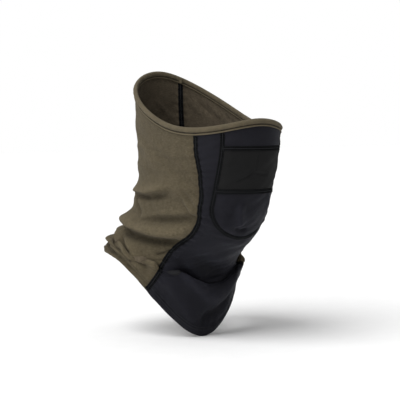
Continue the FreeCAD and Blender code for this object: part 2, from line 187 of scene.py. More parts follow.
@dataclass(frozen=True)
class Fold:
    """A ridge, or a valley where its height is negative, along a line on the form.

    The line is given by (level, degrees) places.  Width and height are in millimetres.
    """

    line: tuple[tuple[float, float], ...]
    height: float
    width: float
    taper: float = 0.3

    def mirrored(self, share: float, shift: float) -> "Fold":
        """Return this fold on the other side of the tube, lower and a little further down."""
        line = tuple((level + shift, -degrees) for level, degrees in self.line)
        return Fold(line, self.height * share, self.width, self.taper)

    def lift(self, level: np.ndarray, angle: np.ndarray) -> np.ndarray:
        """Return how far the fold lifts the cloth at each place, in millimetres.

        Args:
            level: The levels.
            angle: The angles from the front, in radians.

        Returns:
            The lift at each place.
        """
        ends = np.array([(a * LEVEL_LENGTH, math.radians(b) * GIRTH_RADIUS)
                         for a, b in self.line])
        reach = 3 * self.width
        low, high = ends.min(axis=0) - reach, ends.max(axis=0) + reach
        down, around = level * LEVEL_LENGTH, angle * GIRTH_RADIUS
        near = (down > low[0]) & (down < high[0]) & (around > low[1]) & (around < high[1])
        lifted = np.zeros(level.shape)
        if near.any():
            lifted[near] = self.lift_near(down[near], around[near], ends)
        return lifted

    def lift_near(self, down: np.ndarray, around: np.ndarray, ends: np.ndarray
                  ) -> np.ndarray:
        """Return the lift of places near the line, all in millimetres along the cloth.

        Args:
            down: How far down the cloth the places lie.
            around: How far around they lie.
            ends: The line's points, as (down, around).

        Returns:
            The lift at each place.
        """
        lengths = np.linalg.norm(np.diff(ends, axis=0), axis=1)
        total = lengths.sum()
        nearest = np.full(down.shape, 1e9)
        along = np.zeros(down.shape)
        start = 0.0
        for (down_a, around_a), (down_b, around_b), length in zip(ends, ends[1:], lengths):
            run = ((down_b - down_a) / length, (around_b - around_a) / length)
            part = np.clip((down - down_a) * run[0] + (around - around_a) * run[1], 0, length)
            gap = np.hypot(down - down_a - part * run[0], around - around_a - part * run[1])
            closer = gap < nearest
            nearest = np.where(closer, gap, nearest)
            along = np.where(closer, (start + part) / total, along)
            start += length
        fade = np.clip(along / self.taper, 0, 1) * np.clip((1 - along) / self.taper, 0, 1)
        fade = 0.15 + 0.85 * fade * (2 - fade)
        return self.height * fade * hump(nearest, self.width)


# Where the neck is pushed down, the cloth stands in rolls that run from under the chin
# around the side to the nape.
SIDE_FOLDS = (
    Fold(((4.02, 140), (3.60, 119), (3.28, 102), (2.92, 90), (2.66, 80)), 5.6, 6.0, 0.22),
    Fold(((4.20, 136), (3.92, 120), (3.60, 102), (3.24, 90), (2.96, 78)), -4.6, 4.2),
    Fold(((4.10, 124), (4.28, 113), (4.46, 100)), -3.4, 2.8),
    Fold(((4.86, 112), (4.70, 100), (4.28, 84), (3.78, 66), (3.40, 51)), -4.4, 6.5),
    Fold(((4.52, 106), (4.30, 95), (3.86, 80), (3.46, 64), (3.12, 51)), 2.6, 5.0),
    Fold(((5.25, 138), (5.02, 116), (4.80, 96), (4.60, 78), (4.32, 63), (4.04, 51)), 8.8, 8.2,
         0.2),
    Fold(((5.50, 124), (5.32, 102), (5.06, 80), (4.80, 62), (4.56, 50)), -8.8, 6.4, 0.2),
    Fold(((5.50, 106), (5.72, 84), (6.10, 68), (6.64, 56), (7.10, 48)), 6.2, 6.4),
    Fold(((5.70, 116), (5.96, 96), (6.44, 80), (6.98, 67), (7.36, 56)), -5.8, 4.8),
    Fold(((5.84, 138), (6.10, 114), (6.66, 95), (7.16, 79), (7.50, 66)), 5.2, 5.6),
    Fold(((6.34, 124), (6.66, 108), (7.10, 92), (7.44, 78)), -3.6, 4.2),
    Fold(((7.50, 126), (7.62, 106), (7.70, 90), (7.80, 72), (7.80, 60)), -3.6, 4.6),
    Fold(((5.46, 61), (5.16, 55), (4.90, 51)), -3.2, 2.4),
    Fold(((2.60, 67), (2.90, 59), (3.10, 52)), -1.6, 2.4, 0.45),
    Fold(((2.86, 66), (3.10, 58), (3.30, 52)), 1.4, 2.4, 0.45),
    Fold(((3.00, 68), (3.30, 58), (3.50, 51)), -1.6, 2.2, 0.45),
    Fold(((2.16, 63), (2.36, 56), (2.46, 51)), -1.2, 2.2, 0.45),
    Fold(((1.74, 64), (1.90, 58), (1.96, 54)), -0.8, 2.0, 0.45),
    Fold(((7.02, 156), (7.10, 128), (7.12, 104)), 5.0, 4.8),
    Fold(((7.34, 156), (7.38, 128), (7.42, 106)), -5.6, 3.6),
)
BACK_FOLDS = (
    Fold(((3.96, 128), (4.22, 152), (4.15, 178), (4.35, 205), (4.05, 232)), 4.0, 6.5),
    Fold(((4.48, 126), (4.66, 158), (4.62, 190), (4.72, 226)), -4.6, 5.0),
    Fold(((5.22, 126), (5.35, 160), (5.20, 188), (5.30, 234)), 6.2, 8.0),
    Fold(((5.58, 124), (5.84, 158), (5.75, 196), (5.62, 236)), -6.0, 5.2),
    Fold(((6.10, 122), (6.45, 160), (6.40, 200), (6.12, 238)), 4.6, 7.4),
    Fold(((6.95, 138), (7.10, 168), (7.05, 208), (6.95, 226)), -3.4, 5.6),
    Fold(((2.90, 150), (3.20, 175), (3.05, 204)), 1.8, 7.0),
    Fold(((0.30, 207), (0.62, 212), (0.98, 222)), -1.5, 2.6),
    Fold(((0.32, 216), (0.58, 222), (0.84, 232)), 1.4, 2.8),
    Fold(((0.30, 226), (0.52, 232), (0.74, 241)), -1.5, 2.4),
    Fold(((0.30, 238), (0.50, 244), (0.70, 252)), 1.2, 2.6),
    Fold(((0.30, 249), (0.46, 254), (0.62, 260)), -1.2, 2.2),
    Fold(((0.60, 150), (1.00, 160), (1.50, 166)), 1.2, 4.0),
    Fold(((0.80, 176), (1.10, 186), (1.40, 200)), -1.0, 3.2),
)
FRONT_FOLDS = (
    Fold(((5.70, 50), (6.06, 38), (6.66, 23), (7.08, 7), (7.20, -12), (7.00, -34)), 6.2, 6.8,
         0.36),
    Fold(((5.16, 44), (5.56, 33), (6.22, 18), (6.58, 4), (6.60, -12), (6.30, -28)), -5.2, 6.0,
         0.36),
    # A broad hollow under the chin, and a low ridge on the bib below it; the softshell's finish
    # turns their depth into painted shade that darkens the throat and a painted highlight on the
    # bib.
    Fold(((4.80, 26), (5.30, 14), (5.70, -2), (5.66, -18)), -5.0, 12.0),
    Fold(((7.20, 44), (7.46, 30), (7.66, 16), (7.70, 2)), 2.4, 8.0),
    Fold(((7.74, 10), (7.62, 2), (7.54, -10), (7.44, -26)), -4.6, 4.4),
    Fold(((2.56, 16), (2.86, 14), (3.12, 11), (3.34, 8)), 4.4, 6.2),
    Fold(((3.44, 15), (3.54, 8), (3.52, -2)), -3.6, 3.2),
    Fold(((2.34, 17), (2.74, 21), (3.18, 23), (3.52, 24)), -1.0, 4.0),
    Fold(((2.20, -22), (2.70, -24), (3.30, -22)), 1.6, 6.0),
    Fold(((1.90, 26), (1.74, 17), (1.56, 7)), -1.5, 1.5),
    Fold(((1.56, 7), (1.62, -2), (1.66, -14)), -1.3, 1.5),
    Fold(((1.04, 4), (1.30, 4), (1.54, 5)), -0.6, 1.6),
    Fold(((4.30, 22), (4.62, 6), (4.50, -12), (4.20, -26)), -1.6, 7.0),
    Fold(((4.60, 36), (4.90, 18), (5.00, 0), (4.90, -20), (4.70, -38)), 1.2, 8.0),
)


@dataclass(frozen=True)
class Ripples:
    """Gentle seeded waves over the whole form."""

    seed: int
    count: int
    height: float
    shortest: float
    longest: float

    def lift(self, level: np.ndarray, angle: np.ndarray) -> np.ndarray:
        """Return the waves' height at each place, in millimetres.

        Args:
            level: The levels.
            angle: The angles from the front, in radians.

        Returns:
            The lift at each place.
        """
        chance = np.random.default_rng(self.seed)
        total = np.zeros(level.shape)
        for _ in range(self.count):
            length = chance.uniform(self.shortest, self.longest)
            turns = max(1, round(2 * math.pi * GIRTH_RADIUS / (length * 2.2)))
            down = 2 * math.pi / length * LEVEL_LENGTH * chance.uniform(0.6, 1.2)
            sign = chance.choice((-1, 1))
            phase = chance.uniform(0, 2 * math.pi)
            bend = 0.6 * np.sin(2 * angle + phase)
            total += np.sin(down * level + sign * turns * angle + phase + bend)
        return total * self.height / math.sqrt(self.count)


@dataclass
class DrapedForm:
    """The outer face of the whole tube, as points for levels and angles."""

    insert_half_width: float = 41.0
    insert_bottom: float = -1.0
    mouth_top: float = 103.0
    mouth_bottom: float = 54.0
    back_seam_side: float = 29.0
    insert_last_level: float = 5.5
    sag: float = 0.42

    def __post_init__(self) -> None:
        """Work out the ring table and the seam lines that follow from it."""
        self.table = np.array([ring.row() for ring in RINGS])
        before = np.maximum(np.arange(len(RINGS)) - 1, 0)
        after = np.minimum(np.arange(len(RINGS)) + 1, len(RINGS) - 1)
        self.slopes = (self.table[after] - self.table[before]) / (after - before)[:, None]
        mirrored = tuple(f.mirrored(0.85, 0.07 * math.sin(3.1 * i))
                         for i, f in enumerate(SIDE_FOLDS))
        self.folds = SIDE_FOLDS + mirrored + BACK_FOLDS + FRONT_FOLDS
        self.waves = (Ripples(11, 12, 0.75, 26, 60), Ripples(5, 14, 0.22, 9, 20))
        self.sampled = np.linspace(0, LAST_LEVEL, 801)
        self.insert_line = self.angle_at_side(self.sampled, self.insert_half_width)
        self.cheek_line = self.insert_line + self.sizes(self.sampled)[..., -1]
        self.back_line = self.back_angle_at(self.sampled)

    def sizes(self, level: np.ndarray) -> np.ndarray:
        """Return the ring sizes at each level, by a smooth cubic through the rings.

        Args:
            level: The levels.

        Returns:
            The sizes, with a ring's row at each level.
        """
        level = np.clip(level, 0, LAST_LEVEL)
        low = np.minimum(level.astype(int), len(RINGS) - 2)
        part = (level - low)[..., None]
        return ((2 * part**3 - 3 * part**2 + 1) * self.table[low]
                + (part**3 - 2 * part**2 + part) * self.slopes[low]
                + (-2 * part**3 + 3 * part**2) * self.table[low + 1]
                + (part**3 - part**2) * self.slopes[low + 1])

    def base(self, level: np.ndarray, angle: np.ndarray) -> np.ndarray:
        """Return the smooth form's points, in millimetres.

        Args:
            level: The levels.
            angle: The angles from the front, in radians.

        Returns:
            The points, with x, y and z last.
        """
        level, angle = np.broadcast_arrays(np.asarray(level, float), np.asarray(angle, float))
        sizes = np.moveaxis(self.sizes(level), -1, 0)
        front, back, half_width, square, egg, mean, first, second, third, _ = sizes
        along, across = np.cos(angle), np.sin(angle)
        scale = (np.abs(along)**square + np.abs(across)**square) ** (-1 / square)
        along, across = along * scale, across * scale
        forward = (front - back) / 2 + (front + back) / 2 * along
        sideways = half_width * across * (1 - egg * along)
        height = (mean + first * np.cos(angle) + second * np.cos(2 * angle)
                  + third * np.cos(3 * angle))
        return np.stack((-sideways, -forward, height), axis=-1)

    def angle_at_side(self, level: np.ndarray, side: np.ndarray | float) -> np.ndarray:
        """Return the front angle at which a level lies that far to the wearer's right.

        Args:
            level: The levels.
            side: The distances to the wearer's right, in millimetres.

        Returns:
            The angles, in radians.
        """
        level, side = np.broadcast_arrays(np.asarray(level, float), np.asarray(side, float))
        low, high = np.zeros(level.shape), np.full(level.shape, math.pi / 2)
        found = close_in(low, high,
                         lambda angle: -self.base(level, angle)[..., 0] < np.abs(side))
        return np.sign(side) * found

    def back_angle_at(self, level: np.ndarray) -> np.ndarray:
        """Return the back seam's angle at each level.

        Args:
            level: The levels.

        Returns:
            The angles, in radians.
        """
        low = np.full(level.shape, math.pi / 2)
        high = np.full(level.shape, 3 * math.pi / 2)
        return close_in(low, high,
                        lambda angle: self.base(level, angle)[..., 0] < self.back_seam_side)

    def insert_angle(self, level: np.ndarray) -> np.ndarray:
        """Return the angle of the insert's straight side on the wearer's right."""
        return np.interp(level, self.sampled, self.insert_line)

    def cheek_angle(self, level: np.ndarray) -> np.ndarray:
        """Return the angle of the right cheek seam."""
        return np.interp(level, self.sampled, self.cheek_line)

    def back_angle(self, level: np.ndarray) -> np.ndarray:
        """Return the angle of the back seam, past half a turn."""
        return np.interp(level, self.sampled, self.back_line)

    def front_place(self, side: np.ndarray, height: np.ndarray
                    ) -> tuple[np.ndarray, np.ndarray]:
        """Return the level and angle of front points with that side and height.

        Args:
            side: The distances to the wearer's right, in millimetres.
            height: The heights, in millimetres.

        Returns:
            The levels and the angles.
        """
        low, high = np.zeros(side.shape), np.full(side.shape, self.insert_last_level)
        level = close_in(
            low, high,
            lambda level: self.base(level, self.angle_at_side(level, side))[..., 2] > height,
            steps=26)
        return level, self.angle_at_side(level, side)

    def insert_level(self, share: np.ndarray, height: float) -> np.ndarray:
        """Return the level at which a line across the insert has a height.

        Args:
            share: Where across the insert, from -1 at its left side to 1 at its right.
            height: The height of the line, in millimetres.

        Returns:
            The level for each share.
        """
        low, high = np.zeros(share.shape), np.full(share.shape, self.insert_last_level)
        return close_in(
            low, high,
            lambda level: self.base(level, share * self.insert_angle(level))[..., 2] > height,
            steps=30)

    def insert_distance(self, point: np.ndarray) -> np.ndarray:
        """Return how far points lie outside the insert's U, seen from the front.

        Args:
            point: The points, in millimetres.

        Returns:
            The distances, negative inside the U and large behind the neck.
        """
        half = self.insert_half_width
        drop = np.maximum(self.insert_bottom + half - point[..., 2], 0)
        outside = np.hypot(point[..., 0], drop) - half
        return np.where(point[..., 1] < 0, outside, 60.0)

    def relief(self, level: np.ndarray, angle: np.ndarray, base: np.ndarray) -> np.ndarray:
        """Return how far folds, waves and seams lift the cloth, in millimetres.

        Args:
            level: The levels.
            angle: The angles from the front, in radians.
            base: The smooth form's points there.

        Returns:
            The lift at each place.
        """
        turn = (angle + math.pi) % (2 * math.pi) - math.pi
        turn_back = angle % (2 * math.pi)
        lift = np.zeros(level.shape)
        for fold in self.folds:
            behind = max(abs(degrees) for _, degrees in fold.line) > 181
            lift += fold.lift(level, turn_back if behind else turn)
        calm = np.clip((level - 0.25) / 2.2, 0, 1)
        lift += self.waves[0].lift(level, turn) * (0.25 + 0.75 * calm)
        lift += self.waves[1].lift(level, turn) * (0.4 + 0.6 * calm)
        reach = np.clip((level - 0.2) / 0.5, 0, 1)
        lift *= reach * reach * (3 - 2 * reach)
        return lift + self.seam_relief(level, turn, turn_back, base)

    def seam_relief(self, level: np.ndarray, turn: np.ndarray, turn_back: np.ndarray,
                    base: np.ndarray) -> np.ndarray:
        """Return the dents and puckers along the seams, in millimetres.

        Args:
            level: The levels.
            turn: The angles, counted from half a turn back to half a turn on.
            turn_back: The same angles, counted from nothing to a full turn.
            base: The smooth form's points there.

        Returns:
            The lift at each place, negative in a dent.
        """
        cheek = (np.abs(turn) - self.cheek_angle(level)) * GIRTH_RADIUS
        back = (turn_back - self.back_angle(level)) * GIRTH_RADIUS
        insert = self.insert_distance(base)
        height = base[..., 2]
        inside = (insert < 0) & (base[..., 1] < 0)
        upper = np.where(inside, height - self.mouth_top, 60.0)
        lower = np.where(inside, height - self.mouth_bottom, 60.0)
        run = level * LEVEL_LENGTH
        total = np.zeros(level.shape)
        for gap, pitch, depth in ((cheek, 8.3, 0.55), (back, 7.1, 0.45), (insert, 9.7, 0.30)):
            wobble = np.sin(2 * math.pi * run / pitch + 1.7 * np.sin(run / 13.0 + depth))
            total += depth * wobble * hump(np.abs(gap) - 4, 4.5)
            total += 0.45 * hump(np.abs(gap) - 7.5, 4.0) - 0.55 * hump(gap, 4.2)
        for gap in (upper, lower):
            total -= 0.35 * hump(gap, 3.2)
        quiet = np.clip((level - 0.12) / 0.3, 0, 1)
        above_hem = (LAST_LEVEL - level) * HEM_LEVEL_LENGTH
        above_line = above_hem - HEM_LINE
        puckers = 0.30 * np.sin(turn * 47 + 2 * np.sin(turn * 9)) * hump(above_line, 6.0)
        hem = 0.55 * hump(above_hem - 4.0, 3.2) - 0.75 * hump(above_line, 2.2) + puckers
        return total * quiet + hem

    def draped(self, level: np.ndarray, angle: np.ndarray) -> np.ndarray:
        """Return the folded cloth's points, in millimetres.

        Args:
            level: The levels.
            angle: The angles from the front, in radians.

        Returns:
            The points, with x, y and z last.
        """
        level, angle = np.broadcast_arrays(np.asarray(level, float), np.asarray(angle, float))
        base = self.base(level, angle)
        step = 0.02
        upper = np.maximum(level - step, 0)
        lower = np.minimum(level + step, LAST_LEVEL)
        around = self.base(level, angle + step) - self.base(level, angle - step)
        down = self.base(lower, angle) - self.base(upper, angle)
        normal = unit(np.cross(around, down))
        lift = self.relief(level, angle, base)[..., None]
        sag = self.sag * np.maximum(lift - 1.0, 0)
        return base + normal * lift + unit(down) * sag

    def slopes_at(self, level: np.ndarray, angle: np.ndarray
                  ) -> tuple[np.ndarray, np.ndarray, np.ndarray, np.ndarray]:
        """Return the folded cloth's points, and how they move with level and with angle.

        Args:
            level: The levels.
            angle: The angles from the front, in radians.

        Returns:
            The points, the slope down, the slope around, and the unit outward normals.
        """
        level, angle = np.broadcast_arrays(np.asarray(level, float), np.asarray(angle, float))
        step_down, step_round = 0.02, 0.012
        upper = np.maximum(level - step_down, 0)
        lower = np.minimum(level + step_down, LAST_LEVEL)
        down = (self.draped(lower, angle) - self.draped(upper, angle)) / (lower - upper)[..., None]
        around = (self.draped(level, angle + step_round)
                  - self.draped(level, angle - step_round)) / (2 * step_round)
        return self.draped(level, angle), down, around, unit(np.cross(around, down))

    def walk_from(self, edge: float, angle: np.ndarray, distances: np.ndarray) -> np.ndarray:
        """Return the levels that lie distances along the cloth from an edge.

        Args:
            edge: The level of the edge, which is the rim's or the hem's.
            angle: The angles at which to walk.
            distances: The distances to walk, in millimetres.

        Returns:
            A level for each distance (rows) and angle (columns).
        """
        inward = 1.0 if edge == 0 else -1.0
        steps = edge + inward * np.linspace(0, 1.2, 61)
        points = self.base(steps[:, None], angle[None, :])
        strides = np.linalg.norm(np.diff(points, axis=0), axis=-1)
        walked = np.vstack((np.zeros(len(angle)), np.cumsum(strides, axis=0)))
        return np.stack([np.interp(distances, walked[:, i], steps)
                         for i in range(len(angle))], axis=1)


# ---------------------------------------------------------------- meshes


@dataclass
class Grid:
    """A grid of points on the cloth, rows down and columns around, with a map in metres, and a
    lift on each point by which the finishes paint shade and highlight.
    """

    points: np.ndarray
    lift: np.ndarray
    closed: bool = False
    map: np.ndarray | None = None

    def __post_init__(self) -> None:
        """Measure the cloth along its rows and columns, unless a map is given."""
        if self.map is None:
            across = np.linalg.norm(np.diff(self.points, axis=1), axis=-1)
            across = np.hstack((np.zeros((len(across), 1)), np.cumsum(across, axis=1)))
            across -= across.mean(axis=1, keepdims=True)
            down = np.linalg.norm(np.diff(self.points, axis=0), axis=-1)
            down = np.vstack((np.zeros((1, down.shape[1])), np.cumsum(down, axis=0)))
            self.map = np.stack((across, -down), axis=-1)


def make_object(name: str, mesh: bpy.types.Mesh) -> bpy.types.Object:
    """Return a new object in the scene that shows a mesh.

    Args:
        name: The object's name.
        mesh: The mesh it shows.

    Returns:
        The object.
    """
    piece = bpy.data.objects.new(name, mesh)
    bpy.context.scene.collection.objects.link(piece)
    return piece


def mesh_from_grids(name: str, grids: list[Grid], materials: list[bpy.types.Material]
                    ) -> bpy.types.Object:
    """Return one smooth mesh piece made of grids whose shared edges are welded.

    Args:
        name: The piece's name.
        grids: The grids, in metres, all with their outer faces the same way.
        materials: The piece's materials.

    Returns:
        The new object, with its place in its mesh.
    """
    points, lifts, faces, corners = [], [], [], []
    start = 0
    for grid in grids:
        rows, columns = grid.points.shape[:2]
        number = np.arange(rows * columns).reshape(rows, columns) + start
        left, right = (number, np.roll(number, -1, axis=1)) if grid.closed else (
            number[:, :-1], number[:, 1:])
        quads = np.stack((left[:-1], right[:-1], right[1:], left[1:]), axis=-1)
        points.append(grid.points.reshape(-1, 3))
        lifts.append(grid.lift.reshape(-1))
        faces.append(quads.reshape(-1, 4))
        corners.append(grid.map.reshape(-1, 2))
        start += rows * columns
    faces = np.vstack(faces)
    corners = np.vstack(corners)
    mesh = bpy.data.meshes.new(name)
    mesh.from_pydata(np.vstack(points).tolist(), [], faces.tolist())
    layer = mesh.uv_layers.new(name="cloth")
    layer.data.foreach_set("uv", corners[faces.reshape(-1)].astype(np.float32).reshape(-1))
    # Each point's lift is kept for the finishes, which paint shade and highlight by it.
    lift = mesh.attributes.new("lift", "FLOAT", "POINT")
    lift.data.foreach_set("value", np.concatenate(lifts).astype(np.float32))
    mesh.polygons.foreach_set("use_smooth", np.ones(len(faces), bool))
    for material in materials:
        mesh.materials.append(material)
    if len(grids) > 1:
        shell = bmesh.new()
        shell.from_mesh(mesh)
        bmesh.ops.remove_doubles(shell, verts=shell.verts, dist=2e-5)
        shell.to_mesh(mesh)
        shell.free()
    mesh.update()
    return make_object(name, mesh)


def apply_modifiers(piece: bpy.types.Object) -> bpy.types.Object:
    """Turn a piece's modifiers into plain mesh and return the piece.

    Args:
        piece: The piece.

    Returns:
        The same piece, with a plain mesh.
    """
    bpy.context.view_layer.update()
    graph = bpy.context.evaluated_depsgraph_get()
    mesh = bpy.data.meshes.new_from_object(piece.evaluated_get(graph))
    piece.modifiers.clear()
    old, piece.data = piece.data, mesh
    mesh.name = piece.name
    bpy.data.meshes.remove(old)
    return piece


def thicken(piece: bpy.types.Object, thickness: float) -> bpy.types.Object:
    """Give a sheet its thickness inwards, with its second material on the inner face.

    Args:
        piece: The sheet.
        thickness: The thickness, in metres.

    Returns:
        The same piece, as a plain mesh.
    """
    solid = piece.modifiers.new("thickness", "SOLIDIFY")
    solid.thickness = thickness
    solid.offset = -1
    solid.use_rim = True
    solid.material_offset = 1
    solid.material_offset_rim = 0
    return apply_modifiers(piece)


def hand_over(piece: bpy.types.Object, slot: Slot, *nodes: str) -> bpy.types.Object:
    """Let a finished piece ride and stand for its CAD nodes.

    Args:
        piece: The piece.
        slot: Its material slot; not used.
        *nodes: The CAD nodes that it stands for.

    Returns:
        The piece.
    """
    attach(piece, "root")
    if nodes:
        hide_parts(*nodes)
    triangles = sum(len(face.vertices) - 2 for face in piece.data.polygons)
    LOG.info("%s: %d triangles", piece.name, triangles)
    return piece


# ---------------------------------------------------------------- shader maths


class Signal:
    """A socket in a material's nodes, with arithmetic that adds Math nodes."""

    def __init__(self, board: "Board", socket: bpy.types.NodeSocket) -> None:
        """Keep the board and the socket."""
        self.board = board
        self.socket = socket

    def __add__(self, other: "Signal | float") -> "Signal":
        """Return the sum."""
        return self.board.math("ADD", self, other)

    __radd__ = __add__

    def __mul__(self, other: "Signal | float") -> "Signal":
        """Return the product."""
        return self.board.math("MULTIPLY", self, other)

    __rmul__ = __mul__

    def __sub__(self, other: "Signal | float") -> "Signal":
        """Return the difference."""
        return self.board.math("SUBTRACT", self, other)

    def __rsub__(self, other: float) -> "Signal":
        """Return a number less this signal."""
        return self.board.math("SUBTRACT", other, self)

    def sine(self) -> "Signal":
        """Return the sine."""
        return self.board.math("SINE", self)

    def clamped(self) -> "Signal":
        """Return the value held between 0 and 1."""
        return self.board.node("ShaderNodeClamp", {}, {"Value": self})


class Board:
    """A material's nodes, with one method that makes any node."""

    def __init__(self, name: str) -> None:
        """Start a material that holds a surface shader only.

        Args:
            name: The material's name.
        """
        self.material = bpy.data.materials.new(name)
        self.material.use_nodes = True
        self.nodes = self.material.node_tree.nodes
        self.links = self.material.node_tree.links
        self.nodes.clear()
        self.shader = self.nodes.new("ShaderNodeBsdfPrincipled")
        output = self.nodes.new("ShaderNodeOutputMaterial")
        self.links.new(self.shader.outputs[0], output.inputs["Surface"])

    def feed(self, socket: bpy.types.NodeSocket, value: object) -> None:
        """Link a signal to a socket, or set a plain value on it.

        Args:
            socket: The socket.
            value: The signal, or the value.
        """
        if isinstance(value, Signal):
            self.links.new(value.socket, socket)
        else:
            socket.default_value = value

    def node(self, kind: str, settings: dict, sockets: dict, output: int | str = 0) -> Signal:
        """Add a node and return one of its outputs.

        Args:
            kind: The node's type.
            settings: Its settings, and "stops" for a ramp's places and colours.
            sockets: Values or signals by socket name or number.
            output: The output's name or number.

        Returns:
            The output as a signal.
        """
        node = self.nodes.new(kind)
        for key, value in settings.items():
            if key == "stops":
                ramp = node.color_ramp.elements
                while len(ramp) < len(value):
                    ramp.new(0.5)
                for element, (place, colour) in zip(ramp, value):
                    element.position = place
                    element.color = (*colour, 1.0)
            else:
                setattr(node, key, value)
        for key, value in sockets.items():
            self.feed(node.inputs[key], value)
        return Signal(self, node.outputs[output])

    def math(self, operation: str, *values: "Signal | float") -> Signal:
        """Add a Math node on values."""
        return self.node("ShaderNodeMath", {"operation": operation}, dict(enumerate(values)))

    def mix(self, share: "Signal | float", first: object, second: object) -> Signal:
        """Return a colour between two colours.

        Args:
            share: How much of the second colour shows.
            first: The first colour.
            second: The second colour.

        Returns:
            The colour.
        """
        first, second = ((*c, 1.0) if isinstance(c, tuple) else c for c in (first, second))
        return self.node("ShaderNodeMix", {"data_type": "RGBA"},
                         {0: share, 6: first, 7: second}, 2)

    def shade(self, colour: Signal, value: Signal) -> Signal:
        """Return a colour made lighter or darker by a value around 1.

        Args:
            colour: The colour.
            value: What each of its parts is multiplied by.

        Returns:
            The colour.
        """
        grey = self.node("ShaderNodeCombineXYZ", {}, {0: value, 1: value, 2: value})
        return self.node("ShaderNodeVectorMath", {"operation": "MULTIPLY"},
                         {0: colour, 1: grey})

    def place(self) -> Signal:
        """Return the place in the piece's own frame, in metres."""
        return self.node("ShaderNodeTexCoord", {}, {}, "Object")

    def cloth(self) -> tuple[Signal, Signal]:
        """Return how far around and how far down the cloth a point lies, in metres."""
        flat = self.node("ShaderNodeUVMap", {"uv_map": "cloth"}, {})
        return tuple(self.node("ShaderNodeSeparateXYZ", {}, {0: flat}, i) for i in (0, 1))

    def stretch(self, around: Signal, down: Signal, scales: tuple[float, float]) -> Signal:
        """Return a vector for a texture, with its own scale along each direction."""
        return self.node("ShaderNodeCombineXYZ", {},
                         {0: around * scales[0], 1: down * scales[1]})

    def noise(self, vector: Signal, scale: float = 1.0, detail: float = 2.0,
              rough: float = 0.5) -> Signal:
        """Return a noise value from 0 to 1.

        Args:
            vector: Where the noise is read.
            scale: The noise's scale.
            detail: How many finer layers it has.
            rough: How strong the finer layers are.

        Returns:
            The value.
        """
        return self.node("ShaderNodeTexNoise", {},
                         {"Vector": vector, "Scale": scale, "Detail": detail,
                          "Roughness": rough}, 0)

    def attribute(self, name: str) -> Signal:
        """Return a number kept on the mesh."""
        return self.node("ShaderNodeAttribute", {"attribute_name": name}, {}, "Fac")

    def finish(self, colour: Signal, rough: "Signal | float", height: Signal, depth: float,
               **constants: object) -> bpy.types.Material:
        """Connect the shader and return the material.

        Args:
            colour: The surface's colour.
            rough: Its roughness.
            height: The relief for the bump, from about 0 to 1.
            depth: The relief's depth, in metres.
            constants: Other sockets of the shader, spaces written as underscores.

        Returns:
            The finished material.
        """
        normal = self.node("ShaderNodeBump", {},
                           {"Strength": 1.0, "Distance": depth, "Height": height})
        sockets = self.shader.inputs
        self.feed(sockets["Base Color"], colour)
        self.feed(sockets["Roughness"], rough)
        self.feed(sockets["Normal"], normal)
        for key, value in constants.items():
            sockets[key.replace("_", " ")].default_value = value
        return self.material


# ---------------------------------------------------------------- finishes


@dataclass(frozen=True)
class FleeceFinish:
    """Brushed melange fleece: fine flecks that run around, a soft nap, a sheen, and painted shade
    in the folds' valleys with painted highlight on their ridges.
    """

    name: str
    dark: tuple[float, float, float]
    middle: tuple[float, float, float]
    light: tuple[float, float, float]
    sheen: float = 0.10
    wale_pitch: float = 0.0013
    course_pitch: float = 0.0011

    def make(self) -> bpy.types.Material:
        """Return the material.

        Returns:
            The material.
        """
        board = Board(self.name)
        around, down = board.cloth()
        place = board.place()
        fleck = board.noise(board.stretch(around, down, (260, 1150)), 1.0, 3.0, 0.62)
        fine = board.noise(board.stretch(around, down, (900, 2600)), 1.0, 2.0, 0.6)
        cloud = board.noise(place, 34.0, 3.0, 0.55)
        mottle = board.noise(place, 150.0, 3.0, 0.6)
        tone = (fleck - 0.5) * 0.95 + (fine - 0.5) * 0.55 + (mottle - 0.5) * 0.35 + 0.5
        colour = board.node("ShaderNodeValToRGB",
                            {"stops": ((0.22, self.dark), (0.50, self.middle),
                                       (0.80, self.light))}, {0: tone})
        # Painted shade and highlight: the colour is darkened in the folds' valleys and lightened
        # on their ridges by the cloth's lift, times a random cloudy tone.
        fold = (board.attribute("lift") * 60.0 + 1.0) * (0.90 + 0.20 * cloud)
        colour = board.shade(colour, fold)
        wale = (around * (2 * math.pi / self.wale_pitch)).sine() * 0.5 + 0.5
        course = (down * (2 * math.pi / self.course_pitch)).sine() * 0.5 + 0.5
        nap = board.noise(place, 1500.0, 3.0, 0.65)
        height = wale * course * 0.35 + nap * 0.9 + mottle * 0.6
        rough = 0.86 + 0.12 * fine
        return board.finish(colour, rough, height, 0.00055, Sheen_Weight=self.sheen,
                            Sheen_Roughness=0.5, Sheen_Tint=(0.85, 0.76, 0.60, 1.0),
                            Specular_IOR_Level=0.12)


